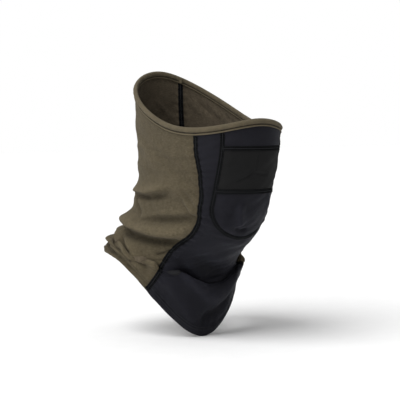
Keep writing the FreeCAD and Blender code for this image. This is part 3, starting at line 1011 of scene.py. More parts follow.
@dataclass(frozen=True)
class SoftshellFinish:
    """Tightly woven softshell: a fine plain weave with a soft, low gloss, and painted shade in the
    folds' valleys with painted highlight on their ridges.
    """

    name: str
    dark: tuple[float, float, float]
    light: tuple[float, float, float]
    sheen: float = 0.05
    weave_pitch: float = 0.00075

    def make(self) -> bpy.types.Material:
        """Return the material.

        Returns:
            The material.
        """
        board = Board(self.name)
        around, down = board.cloth()
        place = board.place()
        pitch = 2 * math.pi / self.weave_pitch
        weft, warp = (around * pitch).sine(), (down * pitch).sine()
        weave = weft * warp * 0.5 + 0.5
        slub = board.noise(board.stretch(around, down, (220, 1500)), 1.0, 2.0, 0.6)
        cloud = board.noise(place, 42.0, 3.0, 0.5)
        lint = board.noise(place, 900.0, 2.0, 0.5)
        tone = weave * 0.28 + slub * 0.42 + cloud * 0.30 + (lint - 0.5) * 0.25
        colour = board.mix(tone.clamped(), self.dark, self.light)
        # Painted shade and highlight: the colour is darkened in the folds' valleys and lightened
        # on their ridges by the cloth's lift.
        colour = board.shade(colour, board.attribute("lift") * 80.0 + 1.0)
        height = weave * 0.8 + slub * 0.5 + lint * 0.35
        rough = 0.56 + 0.14 * cloud
        return board.finish(colour, rough, height, 0.00022, Sheen_Weight=self.sheen,
                            Sheen_Roughness=0.42, Sheen_Tint=(0.75, 0.78, 0.95, 1.0),
                            Specular_IOR_Level=0.12)


@dataclass(frozen=True)
class MeshFinish:
    """Breathable knit over the mouth: rows of small holes in a flat grey cloth."""

    name: str
    pitch: float = 0.0024

    def make(self) -> bpy.types.Material:
        """Return the material.

        Returns:
            The material.
        """
        board = Board(self.name)
        around, down = board.cloth()
        turn = 2 * math.pi / self.pitch
        across = (around * turn).sine()
        along = (down * turn).sine()
        hole = ((across * along) - 0.55).clamped() * 2.2
        rib = (around * (turn * 3)).sine() * 0.5 + 0.5
        place = board.place()
        slub = board.noise(board.stretch(around, down, (1300, 300)), 1.0, 2.0, 0.6)
        cloud = board.noise(place, 50.0, 2.0, 0.5)
        tone = (slub * 0.5 + cloud * 0.3 + rib * 0.2).clamped()
        cloth = board.mix(tone, (0.0060, 0.0060, 0.0061), (0.0130, 0.0130, 0.0132))
        colour = board.mix(hole.clamped(), cloth, (0.004, 0.004, 0.004))
        height = 1.0 - hole.clamped() + rib * 0.25 + slub * 0.3
        return board.finish(colour, 0.86 + 0.1 * slub, height, 0.00025, Sheen_Weight=0.04,
                            Sheen_Roughness=0.5, Specular_IOR_Level=0.10)


@dataclass(frozen=True)
class ThreadFinish:
    """Twisted polyester thread."""

    name: str
    dark: tuple[float, float, float]
    light: tuple[float, float, float]
    gloss: float = 0.10

    def make(self) -> bpy.types.Material:
        """Return the material.

        Returns:
            The material.
        """
        board = Board(self.name)
        place = board.place()
        twist = board.noise(place, 2600.0, 2.0, 0.5)
        batch = board.noise(place, 260.0, 2.0, 0.5)
        colour = board.mix((twist * 0.6 + batch * 0.4).clamped(), self.dark, self.light)
        return board.finish(colour, 0.70 + 0.2 * batch, twist, 0.00012,
                            Specular_IOR_Level=self.gloss)


@dataclass(frozen=True)
class TapeFinish:
    """Knitted binding tape: fine ribs that run along it, with a soft melange, and painted shade
    and highlight from the tape's lift.
    """

    name: str
    dark: tuple[float, float, float]
    light: tuple[float, float, float]

    def make(self) -> bpy.types.Material:
        """Return the material.

        Returns:
            The material.
        """
        board = Board(self.name)
        around, across = board.cloth()
        place = board.place()
        rib = (across * (2 * math.pi / 0.0009)).sine() * 0.5 + 0.5
        stitch = (around * (2 * math.pi / 0.0011) + (across * 2200.0).sine()).sine() * 0.5 + 0.5
        fleck = board.noise(board.stretch(around, across, (520, 1900)), 1.0, 3.0, 0.6)
        cloud = board.noise(place, 70.0, 2.0, 0.5)
        tone = (fleck - 0.5) * 1.1 + (cloud - 0.5) * 0.5 + rib * 0.18 + 0.42
        colour = board.mix(tone.clamped(), self.dark, self.light)
        # Painted shade and highlight: the tape's lift holds a painted darkening in its stitch
        # groove and a painted lightening on its lower lip and the crests of its gathers.
        colour = board.shade(colour, board.attribute("lift") * 1.0 + 1.0)
        height = rib * 0.6 + stitch * 0.35 + fleck * 0.5
        return board.finish(colour, 0.80 + 0.12 * fleck, height, 0.0003, Sheen_Weight=0.10,
                            Sheen_Roughness=0.5, Sheen_Tint=(0.9, 0.82, 0.68, 1.0),
                            Specular_IOR_Level=0.15)


@dataclass(frozen=True)
class ElasticFinish:
    """Covered elastic: a braided rubber core, seen only where the binding opens."""

    name: str

    def make(self) -> bpy.types.Material:
        """Return the material.

        Returns:
            The material.
        """
        board = Board(self.name)
        place = board.place()
        braid = board.noise(place, 1400.0, 2.0, 0.6)
        wear = board.noise(place, 120.0, 2.0, 0.5)
        colour = board.mix((braid * 0.7 + wear * 0.3).clamped(), (0.018, 0.018, 0.018),
                           (0.05, 0.05, 0.048))
        return board.finish(colour, 0.6 + 0.2 * wear, braid, 0.0002)


@dataclass(frozen=True)
class Finishes:
    """Every finished material of the gaiter."""

    fleece: bpy.types.Material
    fleece_inside: bpy.types.Material
    softshell: bpy.types.Material
    softshell_inside: bpy.types.Material
    mesh: bpy.types.Material
    seam_band: bpy.types.Material
    seam_thread: bpy.types.Material
    hem_thread: bpy.types.Material
    tack_thread: bpy.types.Material
    binding: bpy.types.Material
    binding_thread: bpy.types.Material
    elastic: bpy.types.Material

    @classmethod
    def make_all(cls) -> "Finishes":
        """Return the gaiter's materials.

        Returns:
            The materials, each made once.
        """
        return cls(
            fleece=FleeceFinish("olive_fleece", (0.038, 0.031, 0.019), (0.070, 0.057, 0.035),
                                (0.118, 0.097, 0.062)).make(),
            fleece_inside=FleeceFinish("brushed_fleece_back", (0.038, 0.030, 0.020),
                                       (0.070, 0.056, 0.038), (0.112, 0.090, 0.062)).make(),
            softshell=SoftshellFinish("black_softshell", (0.0032, 0.0032, 0.0050),
                                      (0.0122, 0.0120, 0.0176)).make(),
            softshell_inside=SoftshellFinish("softshell_lining", (0.007, 0.007, 0.008),
                                             (0.014, 0.014, 0.015)).make(),
            mesh=MeshFinish("perforated_knit").make(),
            seam_band=ThreadFinish("black_seam_band", (0.0010, 0.0010, 0.0012),
                                   (0.0026, 0.0026, 0.0029), 0.02).make(),
            # Near-black thread, with lighter grains that stand in for the sheen where its stitches
            # catch light, a painted highlight.
            seam_thread=ThreadFinish("black_thread", (0.010, 0.011, 0.012),
                                     (0.040, 0.043, 0.046), 0.20).make(),
            hem_thread=ThreadFinish("olive_hem_thread", (0.030, 0.025, 0.016),
                                    (0.070, 0.058, 0.037)).make(),
            tack_thread=ThreadFinish("tack_thread", (0.090, 0.075, 0.048),
                                     (0.170, 0.142, 0.092)).make(),
            binding=TapeFinish("olive_tape", (0.058, 0.047, 0.029),
                               (0.128, 0.105, 0.066)).make(),
            binding_thread=ThreadFinish("olive_thread", (0.010, 0.008, 0.006),
                                        (0.032, 0.026, 0.018)).make(),
            elastic=ElasticFinish("covered_elastic").make(),
        )


# ---------------------------------------------------------------- stitches


@dataclass(frozen=True)
class Grain:
    """One visible float of thread: its place, its run, the way it faces and its length."""

    place: np.ndarray
    run: np.ndarray
    outward: np.ndarray
    length: np.ndarray


@dataclass
class StitchMaker:
    """Sews thread grains onto points with one node tree."""

    tree: bpy.types.NodeTree = field(init=False)

    def __post_init__(self) -> None:
        """Build the tree that every row of stitches uses."""
        tree = bpy.data.node_groups.new("thread_grains", "GeometryNodeTree")
        face = tree.interface
        face.new_socket("Geometry", in_out="INPUT", socket_type="NodeSocketGeometry")
        face.new_socket("Thread Width", in_out="INPUT", socket_type="NodeSocketFloat")
        face.new_socket("Thread Height", in_out="INPUT", socket_type="NodeSocketFloat")
        face.new_socket("Unevenness", in_out="INPUT", socket_type="NodeSocketFloat")
        face.new_socket("Seed", in_out="INPUT", socket_type="NodeSocketInt")
        face.new_socket("Thread", in_out="INPUT", socket_type="NodeSocketMaterial")
        face.new_socket("Geometry", in_out="OUTPUT", socket_type="NodeSocketGeometry")
        self.tree = tree
        given = tree.nodes.new("NodeGroupInput").outputs
        grain = self.add("GeometryNodeMeshUVSphere", {},
                         {"Segments": 6, "Rings": 4, "Radius": 0.5})
        steady = self.add("ShaderNodeMath", {"operation": "SUBTRACT"},
                          {0: 1.0, 1: given["Unevenness"]})
        lively = self.add("ShaderNodeMath", {"operation": "ADD"},
                          {0: 1.0, 1: given["Unevenness"]})
        # A random value's float range sits at its third and fourth sockets.
        chance = self.add("FunctionNodeRandomValue", {"data_type": "FLOAT"},
                          {2: steady, 3: lively, "Seed": given["Seed"]}, 1)
        length = self.add("GeometryNodeInputNamedAttribute", {"data_type": "FLOAT"},
                          {"Name": "thread_length"})
        width = self.add("ShaderNodeMath", {"operation": "MULTIPLY"},
                         {0: given["Thread Width"], 1: chance})
        size = self.add("ShaderNodeCombineXYZ", {},
                        {0: length, 1: width, 2: given["Thread Height"]})
        outward = self.add("GeometryNodeInputNamedAttribute", {"data_type": "FLOAT_VECTOR"},
                           {"Name": "outward"})
        run = self.add("GeometryNodeInputNamedAttribute", {"data_type": "FLOAT_VECTOR"},
                       {"Name": "run"})
        upright = self.add("FunctionNodeAlignRotationToVector", {"axis": "Z"},
                           {"Vector": outward})
        turned = self.add("FunctionNodeAlignRotationToVector",
                          {"axis": "X", "pivot_axis": "Z"},
                          {"Rotation": upright, "Vector": run})
        sewn = self.add("GeometryNodeInstanceOnPoints", {},
                        {"Points": given["Geometry"], "Instance": grain,
                         "Rotation": turned, "Scale": size})
        real = self.add("GeometryNodeRealizeInstances", {}, {"Geometry": sewn})
        smooth = self.add("GeometryNodeSetShadeSmooth", {}, {"Geometry": real})
        dressed = self.add("GeometryNodeSetMaterial", {},
                           {"Geometry": smooth, "Material": given["Thread"]})
        output = tree.nodes.new("NodeGroupOutput")
        tree.links.new(dressed, output.inputs[0])

    def add(self, kind: str, settings: dict, sockets: dict, output: int = 0
            ) -> bpy.types.NodeSocket:
        """Add a node to the tree and return one of its outputs.

        Args:
            kind: The node's type.
            settings: Its settings, which are set first.
            sockets: The values or links of its sockets.
            output: Which of its outputs is wanted.

        Returns:
            The output.
        """
        node = self.tree.nodes.new(kind)
        for key, value in settings.items():
            setattr(node, key, value)
        for key, value in sockets.items():
            if isinstance(value, bpy.types.NodeSocket):
                self.tree.links.new(value, node.inputs[key])
            else:
                node.inputs[key].default_value = value
        return node.outputs[output]

    def sew(self, name: str, grains: list[Grain], width: float, height: float,
            thread: bpy.types.Material, seed: int) -> bpy.types.Object:
        """Return a plain mesh piece of thread grains.

        Args:
            name: The piece's name.
            grains: The grains, in metres.
            width: The thread's width, in metres.
            height: The thread's height, in metres.
            thread: The thread's material.
            seed: The seed for small differences between grains.

        Returns:
            The new piece.
        """
        places = np.vstack([grain.place for grain in grains])
        mesh = bpy.data.meshes.new(name)
        mesh.from_pydata(places.tolist(), [], [])
        for key, values in (("run", [g.run for g in grains]),
                            ("outward", [g.outward for g in grains])):
            layer = mesh.attributes.new(key, "FLOAT_VECTOR", "POINT")
            layer.data.foreach_set("vector", np.vstack(values).astype(np.float32).reshape(-1))
        layer = mesh.attributes.new("thread_length", "FLOAT", "POINT")
        lengths = np.concatenate([grain.length for grain in grains])
        layer.data.foreach_set("value", lengths.astype(np.float32))
        piece = make_object(name, mesh)
        modifier = piece.modifiers.new("stitches", "NODES")
        modifier.node_group = self.tree
        values = {"Thread Width": width, "Thread Height": height, "Unevenness": 0.12,
                  "Seed": seed, "Thread": thread}
        for item in self.tree.interface.items_tree:
            if item.in_out == "INPUT" and item.name in values:
                modifier[item.identifier] = values[item.name]
        return apply_modifiers(piece)


class StitchKind(Enum):
    """The stitch patterns, by where each thread float starts and ends in one repeat.

    A float is (along from, across from, along to, across to), as shares of the pitch and
    of the half width.
    """

    FLATLOCK = ((0.08, 0.74, 0.58, 0.74), (0.08, -0.74, 0.58, -0.74),
                (0.00, 0.26, 0.50, -0.26), (0.50, -0.26, 1.00, 0.26))
    TWO_NEEDLE = ((0.04, 1.0, 0.96, 1.0), (0.04, -1.0, 0.96, -1.0))
    LOOPER = ((0.00, 1.0, 0.50, -1.0), (0.50, -1.0, 1.00, 1.0),
              (0.05, 0.33, 0.95, 0.33), (0.05, -0.33, 0.95, -0.33))
    RUNNING = ((0.06, 0.0, 0.94, 0.0),)
    SATIN = ((0.5, -1.0, 0.5, 1.0),)


@dataclass
class SewingLine:
    """A line on the cloth that a seam or a row of stitches follows."""

    form: DrapedForm
    level: np.ndarray
    angle: np.ndarray

    def __post_init__(self) -> None:
        """Space the line's places a millimetre apart."""
        points = self.form.base(self.level, self.angle)
        strides = np.linalg.norm(np.diff(points, axis=0), axis=-1)
        walked = np.concatenate(((0,), np.cumsum(strides)))
        self.length = float(walked[-1])
        even = np.linspace(0, self.length, int(self.length) + 1)
        self.level = np.interp(even, walked, self.level)
        self.angle = np.interp(even, walked, self.angle)
        self.walked = even

    def frame_at(self, distance: np.ndarray) -> tuple[np.ndarray, np.ndarray, np.ndarray]:
        """Return the level, the angle and the line's direction at distances along it.

        Args:
            distance: The distances along the line, in millimetres.

        Returns:
            The levels, the angles and the directions.
        """
        level = np.interp(distance, self.walked, self.level)
        angle = np.interp(distance, self.walked, self.angle)
        start, stop = (self.form.base(np.interp(place, self.walked, self.level),
                                      np.interp(place, self.walked, self.angle))
                       for place in (np.clip(distance - 1.5, 0, self.length),
                                     np.clip(distance + 1.5, 0, self.length)))
        return level, angle, unit(stop - start)

    def place(self, distance: np.ndarray, across: np.ndarray, outward: np.ndarray
              ) -> tuple[np.ndarray, np.ndarray]:
        """Return points beside the line on the folded cloth, and their normals.

        Args:
            distance: How far along the line.
            across: How far beside it, across the cloth.
            outward: How far out of the cloth's outer face.

        Returns:
            The points and the unit normals, in millimetres.
        """
        distance, across, outward = np.broadcast_arrays(distance, across, outward)
        level, angle, run = self.frame_at(distance)
        _, down, around, normal = self.form.slopes_at(level, angle)
        shift = np.cross(normal, run) * across[..., None]
        down_down, round_round = dot(down, down), dot(around, around)
        down_round = dot(down, around)
        want_down, want_round = dot(shift, down), dot(shift, around)
        area = down_down * round_round - down_round**2
        level = level + (want_down * round_round - want_round * down_round) / area
        angle = angle + (want_round * down_down - want_down * down_round) / area
        point, _, _, normal = self.form.slopes_at(np.clip(level, 0, LAST_LEVEL), angle)
        return point + normal * outward[..., None], normal

    def pad(self, half_width: float, height: float, face: Face, sunk: float = 0.35) -> Grid:
        """Return the seam's raised band, closed all round, in metres.

        Args:
            half_width: Half the band's width, in millimetres.
            height: How far it stands out of the cloth.
            face: Which face of the cloth it lies on.
            sunk: How far its edges reach into the cloth.

        Returns:
            The grid of the band.
        """
        profile = np.array(((-1.0, -sunk), (-1.0, 0.35 * height), (-0.86, 0.85 * height),
                            (-0.5, height), (0.0, 0.9 * height), (0.5, height),
                            (0.86, 0.85 * height), (1.0, 0.35 * height), (1.0, -sunk)))
        if face is Face.INSIDE:
            profile = np.column_stack((profile[::-1, 0], -CLOTH_THICKNESS - profile[::-1, 1]))
        count = max(8, int(self.length / 1.3))
        distance = np.linspace(0, self.length, count)
        points, _ = self.place(distance[None, :], profile[:, :1] * half_width,
                               profile[:, 1:])
        across = np.broadcast_to(profile[:, :1] * half_width, points.shape[:2])
        along = np.broadcast_to(distance[None, :], points.shape[:2])
        return Grid(points * MM, np.zeros(points.shape[:2]), False,
                    np.stack((along, across), axis=-1) * MM)

    def grains(self, kind: StitchKind, pitch: float, half_width: float, outward: float,
               face: Face = Face.OUTSIDE, margin: float = 0.0) -> list[Grain]:
        """Return the thread floats of a row of stitches along the line, in metres.

        Args:
            kind: The kind of stitch.
            pitch: The length of one stitch, in millimetres.
            half_width: Half the row's width.
            outward: How far out of the cloth the thread lies.
            face: Which face of the cloth it lies on.
            margin: How much of the line stays free at each end.

        Returns:
            The floats of one stitch, each for the whole row at once.
        """
        count = max(1, int((self.length - 2 * margin) / pitch))
        pitch = (self.length - 2 * margin) / count
        start = margin + np.arange(count) * pitch
        height = outward if face is Face.OUTSIDE else -CLOTH_THICKNESS - outward
        found = []
        for along_a, across_a, along_b, across_b in kind.value:
            ends = [self.place(np.clip(start + along * pitch, 0, self.length),
                               np.full(count, across * half_width), np.full(count, height))
                    for along, across in ((along_a, across_a), (along_b, across_b))]
            (first, normal), (second, _) = ends
            reach = np.linalg.norm(second - first, axis=-1)
            found.append(Grain((first + second) / 2 * MM, unit(second - first),
                               normal * face.value, (reach * 1.12 + 0.25) * MM))
        return found


@dataclass
class Seam:
    """A flat seam: a raised band on both faces of the cloth, with its thread over it."""

    name: str
    line: SewingLine
    half_width: float
    height: float
    kind: StitchKind
    pitch: float
    seed: int

    def build(self, maker: StitchMaker, finishes: Finishes) -> None:
        """Build the seam's bands and its thread, and hand them over.

        Args:
            maker: What lays the stitches.
            finishes: The gaiter's materials.
        """
        grids = [self.band(face) for face in Face]
        piece = mesh_from_grids(f"{self.name}_band", grids, [finishes.seam_band])
        hand_over(piece, Slot.SEAM_THREAD, self.name)
        grains = []
        for face in Face:
            grains += self.line.grains(self.kind, self.pitch, self.half_width,
                                       self.height + 0.02, face)
        thread = maker.sew(f"{self.name}_thread", grains, 0.55 * MM, 0.42 * MM,
                           finishes.seam_thread, self.seed)
        hand_over(thread, Slot.SEAM_THREAD)

    def band(self, face: Face) -> Grid:
        """Return one face's band."""
        return self.line.pad(self.half_width, self.height, face)


# ---------------------------------------------------------------- the panels


@dataclass
class ClothCutter:
    """Cuts panels out of the draped form, with the turned hem where they reach it."""

    form: DrapedForm
    thickness: float = CLOTH_THICKNESS
    hem_radius: float = 1.15
    hem_turned: float = 12.0

    def panel_grid(self, level: np.ndarray, angle: np.ndarray, hemmed: bool) -> Grid:
        """Return a panel's grid in metres.

        Args:
            level: The level of each point, rows down.
            angle: The angle of each point.
            hemmed: Whether the last row is the hem, where the cloth turns inwards and up.

        Returns:
            The grid, with its lift kept for the finish, which paints shade in its hollows and
            highlight on its ridges by it.
        """
        points = self.form.draped(level, angle)
        lift = self.form.relief(level, angle, self.form.base(level, angle))
        if hemmed:
            turned = self.turn_hem(angle[-1])
            points = np.vstack((points, turned))
            lift = np.vstack((lift, np.zeros(turned.shape[:2])))
        # The lift kept here is what the finishes paint shade and highlight by, held within 5 mm.
        return Grid(points * MM, np.clip(lift, -5, 5) * MM)

    def turn_hem(self, angle: np.ndarray) -> np.ndarray:
        """Return the rows that run round the hem's edge and up inside, in millimetres.

        Args:
            angle: The angles from the front, in radians.

        Returns:
            The rows of points, from the edge inwards.
        """
        edge = np.full(angle.shape, LAST_LEVEL)
        point, down, _, normal = self.form.slopes_at(edge, angle)
        down = unit(down - normal * (down * normal).sum(axis=-1, keepdims=True))
        bends = np.linspace(0, math.pi, 7)[1:]
        rows = [point + down * self.hem_radius * math.sin(bend)
                - normal * self.hem_radius * (1 - math.cos(bend)) for bend in bends]
        rises = np.linspace(0, self.hem_turned, 10)[1:]
        levels = self.form.walk_from(LAST_LEVEL, angle, rises)
        for level in levels:
            inner, _, _, inner_normal = self.form.slopes_at(level, angle)
            rows.append(inner - inner_normal * 2 * self.hem_radius)
        return np.stack(rows)

    def cut(self, name: str, grids: list[Grid], materials: list[bpy.types.Material]
            ) -> bpy.types.Object:
        """Return a panel's piece, with its thickness."""
        piece = mesh_from_grids(name, grids, materials)
        return thicken(piece, self.thickness * MM)


def level_rows(start: float, stop: float) -> np.ndarray:
    """Return evenly spaced levels from one to another."""
    return np.linspace(start, stop, max(2, round((stop - start) * ROWS_PER_LEVEL)) + 1)


@dataclass
class SidePanels:
    """The two fleece panels, from the cheek seams to the seam behind the head."""

    cutter: ClothCutter
    right_flat: tuple[float, float] = (0.235, 0.240)
    left_flat: tuple[float, float] = (0.170, 0.240)

    def build(self, finishes: Finishes) -> None:
        """Build and hand over both side panels.

        Args:
            finishes: The gaiter's materials.
        """
        form = self.cutter.form
        level = level_rows(0, LAST_LEVEL)
        cheek, back = form.cheek_angle(level), form.back_angle(level)
        for name, start, stop, flat in (
            ("right_side_panel", cheek, back, self.right_flat),
            ("left_side_panel", back, 2 * math.pi - cheek, self.left_flat),
        ):
            columns = int(flat[0] / (CLOTH_SPACING * MM))
            share = np.linspace(0, 1, columns + 1)[None, :]
            angle = start[:, None] * (1 - share) + stop[:, None] * share
            grid = self.cutter.panel_grid(np.broadcast_to(level[:, None], angle.shape),
                                          angle, True)
            piece = self.cutter.cut(f"{name}_cloth", [grid],
                                     [finishes.fleece, finishes.fleece_inside])
            hand_over(piece, Slot.FLEECE, name)


@dataclass
class FrontPanel:
    """The softshell front: a leg beside each side of the insert, joined in the bib."""

    cutter: ClothCutter
    leg_columns: int = 18
    bib_columns: int = 96
    hem_angle: float = math.radians(46)
    flat: tuple[float, float] = (0.200, 0.330)
    cut_area: float = 0.0300

    def build(self, finishes: Finishes) -> None:
        """Build and hand over the front panel.

        Args:
            finishes: The gaiter's materials.
        """
        form = self.cutter.form
        half = form.insert_half_width
        centre = form.insert_bottom + half
        turn = np.linspace(-1, 1, self.bib_columns + 1) * math.pi / 2
        top_level, top_angle = form.front_place(half * np.sin(turn),
                                                centre - half * np.cos(turn))
        bend_level, bend_angle = float(top_level[-1]), float(top_angle[-1])
        share = level_rows(bend_level, LAST_LEVEL)
        share = ((share - share[0]) / (share[-1] - share[0]))[:, None]
        low_level = bend_level + (LAST_LEVEL - bend_level) * share[:, 0]
        low_inner = bend_angle + (self.hem_angle - bend_angle) * share[:, 0]
        high_level = level_rows(0, bend_level)
        level = np.concatenate((high_level, low_level[1:]))
        inner = np.concatenate((form.insert_angle(high_level), low_inner[1:]))
        across = np.linspace(0, 1, self.leg_columns + 1)[None, :]
        right = inner[:, None] * (1 - across) + form.cheek_angle(level)[:, None] * across
        leg_level = np.broadcast_to(level[:, None], right.shape)
        bib_level = top_level[None, :] * (1 - share) + LAST_LEVEL * share
        hem_angle = self.hem_angle * turn / (math.pi / 2)
        bib_angle = top_angle[None, :] * (1 - share) + hem_angle[None, :] * share
        grids = [self.cutter.panel_grid(leg_level, right, True),
                 self.cutter.panel_grid(leg_level, -right[:, ::-1], True),
                 self.cutter.panel_grid(bib_level, bib_angle, True)]
        piece = self.cutter.cut("front_panel_cloth", grids,
                                [finishes.softshell, finishes.softshell_inside])
        hand_over(piece, Slot.SOFTSHELL, "front_panel")


@dataclass
class Insert:
    """The nose, mouth and chin pieces inside the U-shaped seam."""

    cutter: ClothCutter
    columns: int = 100
    nose_flat: tuple[float, float] = (0.112, 0.026)
    mouth_flat: tuple[float, float] = (0.110, 0.050)
    chin_flat: tuple[float, float] = (0.104, 0.056)

    def build(self, finishes: Finishes) -> None:
        """Build and hand over the three pieces.

        Args:
            finishes: The gaiter's materials.
        """
        form = self.cutter.form
        half = form.insert_half_width
        share = np.linspace(-1, 1, self.columns + 1)
        rim = np.zeros(share.shape)
        upper = form.insert_level(share, form.mouth_top)
        lower = form.insert_level(share, form.mouth_bottom)
        turn = share * math.pi / 2
        bottom, bottom_angle = form.front_place(
            half * np.sin(turn), form.insert_bottom + half - half * np.cos(turn))
        black = [finishes.softshell, finishes.softshell_inside]
        self.piece("nose_panel", Slot.SOFTSHELL, black, self.nose_flat, rim, upper,
                   share * form.insert_angle(rim), share * form.insert_angle(upper))
        self.piece("mouth_patch", Slot.MESH, [finishes.mesh, finishes.softshell_inside],
                   self.mouth_flat, upper, lower, share * form.insert_angle(upper),
                   share * form.insert_angle(lower))
        self.piece("chin_panel", Slot.SOFTSHELL, black, self.chin_flat, lower, bottom,
                   share * form.insert_angle(lower), bottom_angle)

    def piece(self, name: str, slot: Slot, materials: list[bpy.types.Material],
              flat: tuple[float, float], top: np.ndarray, bottom: np.ndarray,
              top_angle: np.ndarray, bottom_angle: np.ndarray) -> None:
        """Build one piece between two lines across the insert and hand it over.

        Args:
            name: The piece's name.
            slot: Its material slot.
            materials: Its materials, outside and inside.
            flat: Its flat size, in metres; not used.
            top: The levels along its upper edge.
            bottom: The levels along its lower edge.
            top_angle: The angles along its upper edge.
            bottom_angle: The angles along its lower edge.
        """
        rows = max(10, round(float((bottom - top).max()) * ROWS_PER_LEVEL))
        down = np.linspace(0, 1, rows + 1)[:, None]
        level = top[None, :] * (1 - down) + bottom[None, :] * down
        angle = top_angle[None, :] * (1 - down) + bottom_angle[None, :] * down
        straight = self.cutter.form.insert_angle(level) * np.linspace(-1, 1, len(top))
        angle = straight if name != "chin_panel" else angle
        grid = self.cutter.panel_grid(level, angle, False)
        panel = self.cutter.cut(f"{name}_cloth", [grid], materials)
        hand_over(panel, slot, name)


# ---------------------------------------------------------------- the rim


@dataclass
class RimBinding:
    """The tape folded over the rim, its stitches and the tack over its lapped end."""

    form: DrapedForm
    spacing: float = 1.3
    stitch_below: float = 5.2
    stitch_pitch: float = 2.9
    lap: float = 9.0
    shown_points: int = 32
    profile: tuple[tuple[float, float], ...] = (
        (7.15, 0.02), (7.60, 0.35), (7.60, 1.05), (7.20, 1.45), (6.60, 1.45), (6.10, 1.10),
        (5.75, 0.55), (5.40, 0.22), (5.00, 0.28), (4.65, 0.85), (4.20, 1.50), (3.60, 1.95),
        (2.80, 2.20), (1.90, 2.20), (0.90, 1.90), (0.00, 1.30), (-0.75, 0.55),
        (-1.15, -0.30), (-1.25, -1.10), (-1.00, -1.95), (-0.30, -2.65), (0.80, -3.10),
        (2.20, -3.25), (3.60, -3.20), (4.40, -2.95), (4.85, -2.45), (5.25, -2.05),
        (5.70, -2.35), (6.60, -2.75), (7.40, -2.40), (7.45, -1.70), (7.00, -1.35),
        (5.00, -1.88), (3.00, -1.95), (1.20, -1.90), (0.30, -1.60), (-0.20, -1.05),
        (-0.10, -0.40), (0.60, 0.10), (2.50, 0.30), (5.00, 0.06),
    )

    def rim_places(self) -> tuple[np.ndarray, np.ndarray]:
        """Return even angles around the rim and how far along each lies.

        Returns:
            The angles, and the distances along the rim in millimetres.
        """
        fine = np.linspace(0, 2 * math.pi, 2881)
        points = self.form.base(np.zeros(fine.shape), fine)
        walked = np.concatenate(((0,), np.cumsum(np.linalg.norm(np.diff(points, axis=0),
                                                                axis=-1))))
        count = int(walked[-1] / self.spacing)
        even = np.arange(count) * walked[-1] / count
        return np.interp(even, walked, fine), even

    def beside(self, angle: np.ndarray, below: np.ndarray, outward: np.ndarray
               ) -> tuple[np.ndarray, np.ndarray]:
        """Return points at distances below the rim's edge, or above it where negative.

        Args:
            angle: The angles, one for each column.
            below: The distances below the edge, with a row for each profile point.
            outward: How far out of the cloth's outer face.

        Returns:
            The points and the normals, in millimetres.
        """
        down_level = np.stack([
            self.form.walk_from(0.0, angle, np.array((abs(float(row)),)))[0]
            for row in below[:, 0]])
        point, down, _, normal = self.form.slopes_at(down_level, angle[None, :])
        rim, rim_down, _, _ = self.form.slopes_at(np.zeros(angle.shape), angle)
        above = (below < 0)[..., None]
        point = np.where(above, rim[None] + unit(rim_down)[None] * below[..., None], point)
        return point + normal * outward[..., None], normal

    def build(self, maker: StitchMaker, finishes: Finishes) -> None:
        """Build and hand over the tape, its stitches and the tack.

        Args:
            maker: What lays the stitches.
            finishes: The gaiter's materials.
        """
        angle, along = self.rim_places()
        profile = np.array(self.profile)
        chance = np.random.default_rng(23)
        turns = along / along[-1] * 2 * math.pi
        gather = sum(np.sin(k * turns + chance.uniform(0, 6.3)) * chance.uniform(0.4, 1)
                     for k in (41, 53, 67, 83, 29, 17)) / 3
        pinch = np.sin(2 * math.pi * along / self.stitch_pitch)
        back = float(self.form.back_angle(np.zeros(1))[0])
        seam_at = float(np.interp(back, angle, along))
        lapped = np.clip((self.lap / 2 - np.abs(along - seam_at)) / 1.2 + 0.5, 0, 1)
        middle = hump(profile[:, :1] - 2.8, 3.0)
        ring = np.where(profile[:, 1:] > -1.2, 1.0, -1.0)
        below = np.broadcast_to(profile[:, :1], (len(profile), len(angle)))
        swell = ring * (0.20 * gather * middle + 0.07 * pinch * (1 - middle)
                        + 0.45 * lapped[None, :])
        outer = np.arange(len(profile))[:, None] < self.shown_points
        points, _ = self.beside(angle, below, profile[:, 1:] + swell * outer)
        girth = np.concatenate(((0,), np.cumsum(np.hypot(*np.diff(profile, axis=0).T))))
        flat = np.stack(np.broadcast_arrays(along[None, :], -girth[:, None]), axis=-1) * MM
        # The tape's tone, kept as its lift: painted shade in the stitch groove, a painted
        # highlight on the lower lip and on the crests of the gathers.
        painted_groove_shade = hump(profile[:, :1] - self.stitch_below, 0.75)
        painted_lip_highlight = hump(profile[:, :1] - 6.9, 0.6)
        tone = 0.10 * gather * middle - 0.66 * painted_groove_shade + 0.30 * painted_lip_highlight
        grid = Grid(points * MM, tone, True, flat)
        piece = self.close_profile(grid, finishes)
        hand_over(piece, Slot.BINDING, "top_binding")
        self.sew_binding(maker, finishes)
        self.sew_tack(maker, finishes, back)

    def close_profile(self, grid: Grid, finishes: Finishes) -> bpy.types.Object:
        """Return the tape as one closed mesh, welded where its profile meets itself.

        Args:
            grid: The tape's points, with a row for each profile point.
            finishes: The gaiter's materials.

        Returns:
            The piece.
        """
        joined = Grid(np.vstack((grid.points, grid.points[:1]))[::-1],
                      np.vstack((grid.lift, grid.lift[:1]))[::-1], True,
                      np.vstack((grid.map, grid.map[:1]))[::-1])
        piece = mesh_from_grids("rim_tape", [joined], [finishes.binding])
        shell = bmesh.new()
        shell.from_mesh(piece.data)
        bmesh.ops.remove_doubles(shell, verts=shell.verts, dist=1e-5)
        shell.to_mesh(piece.data)
        shell.free()
        return piece

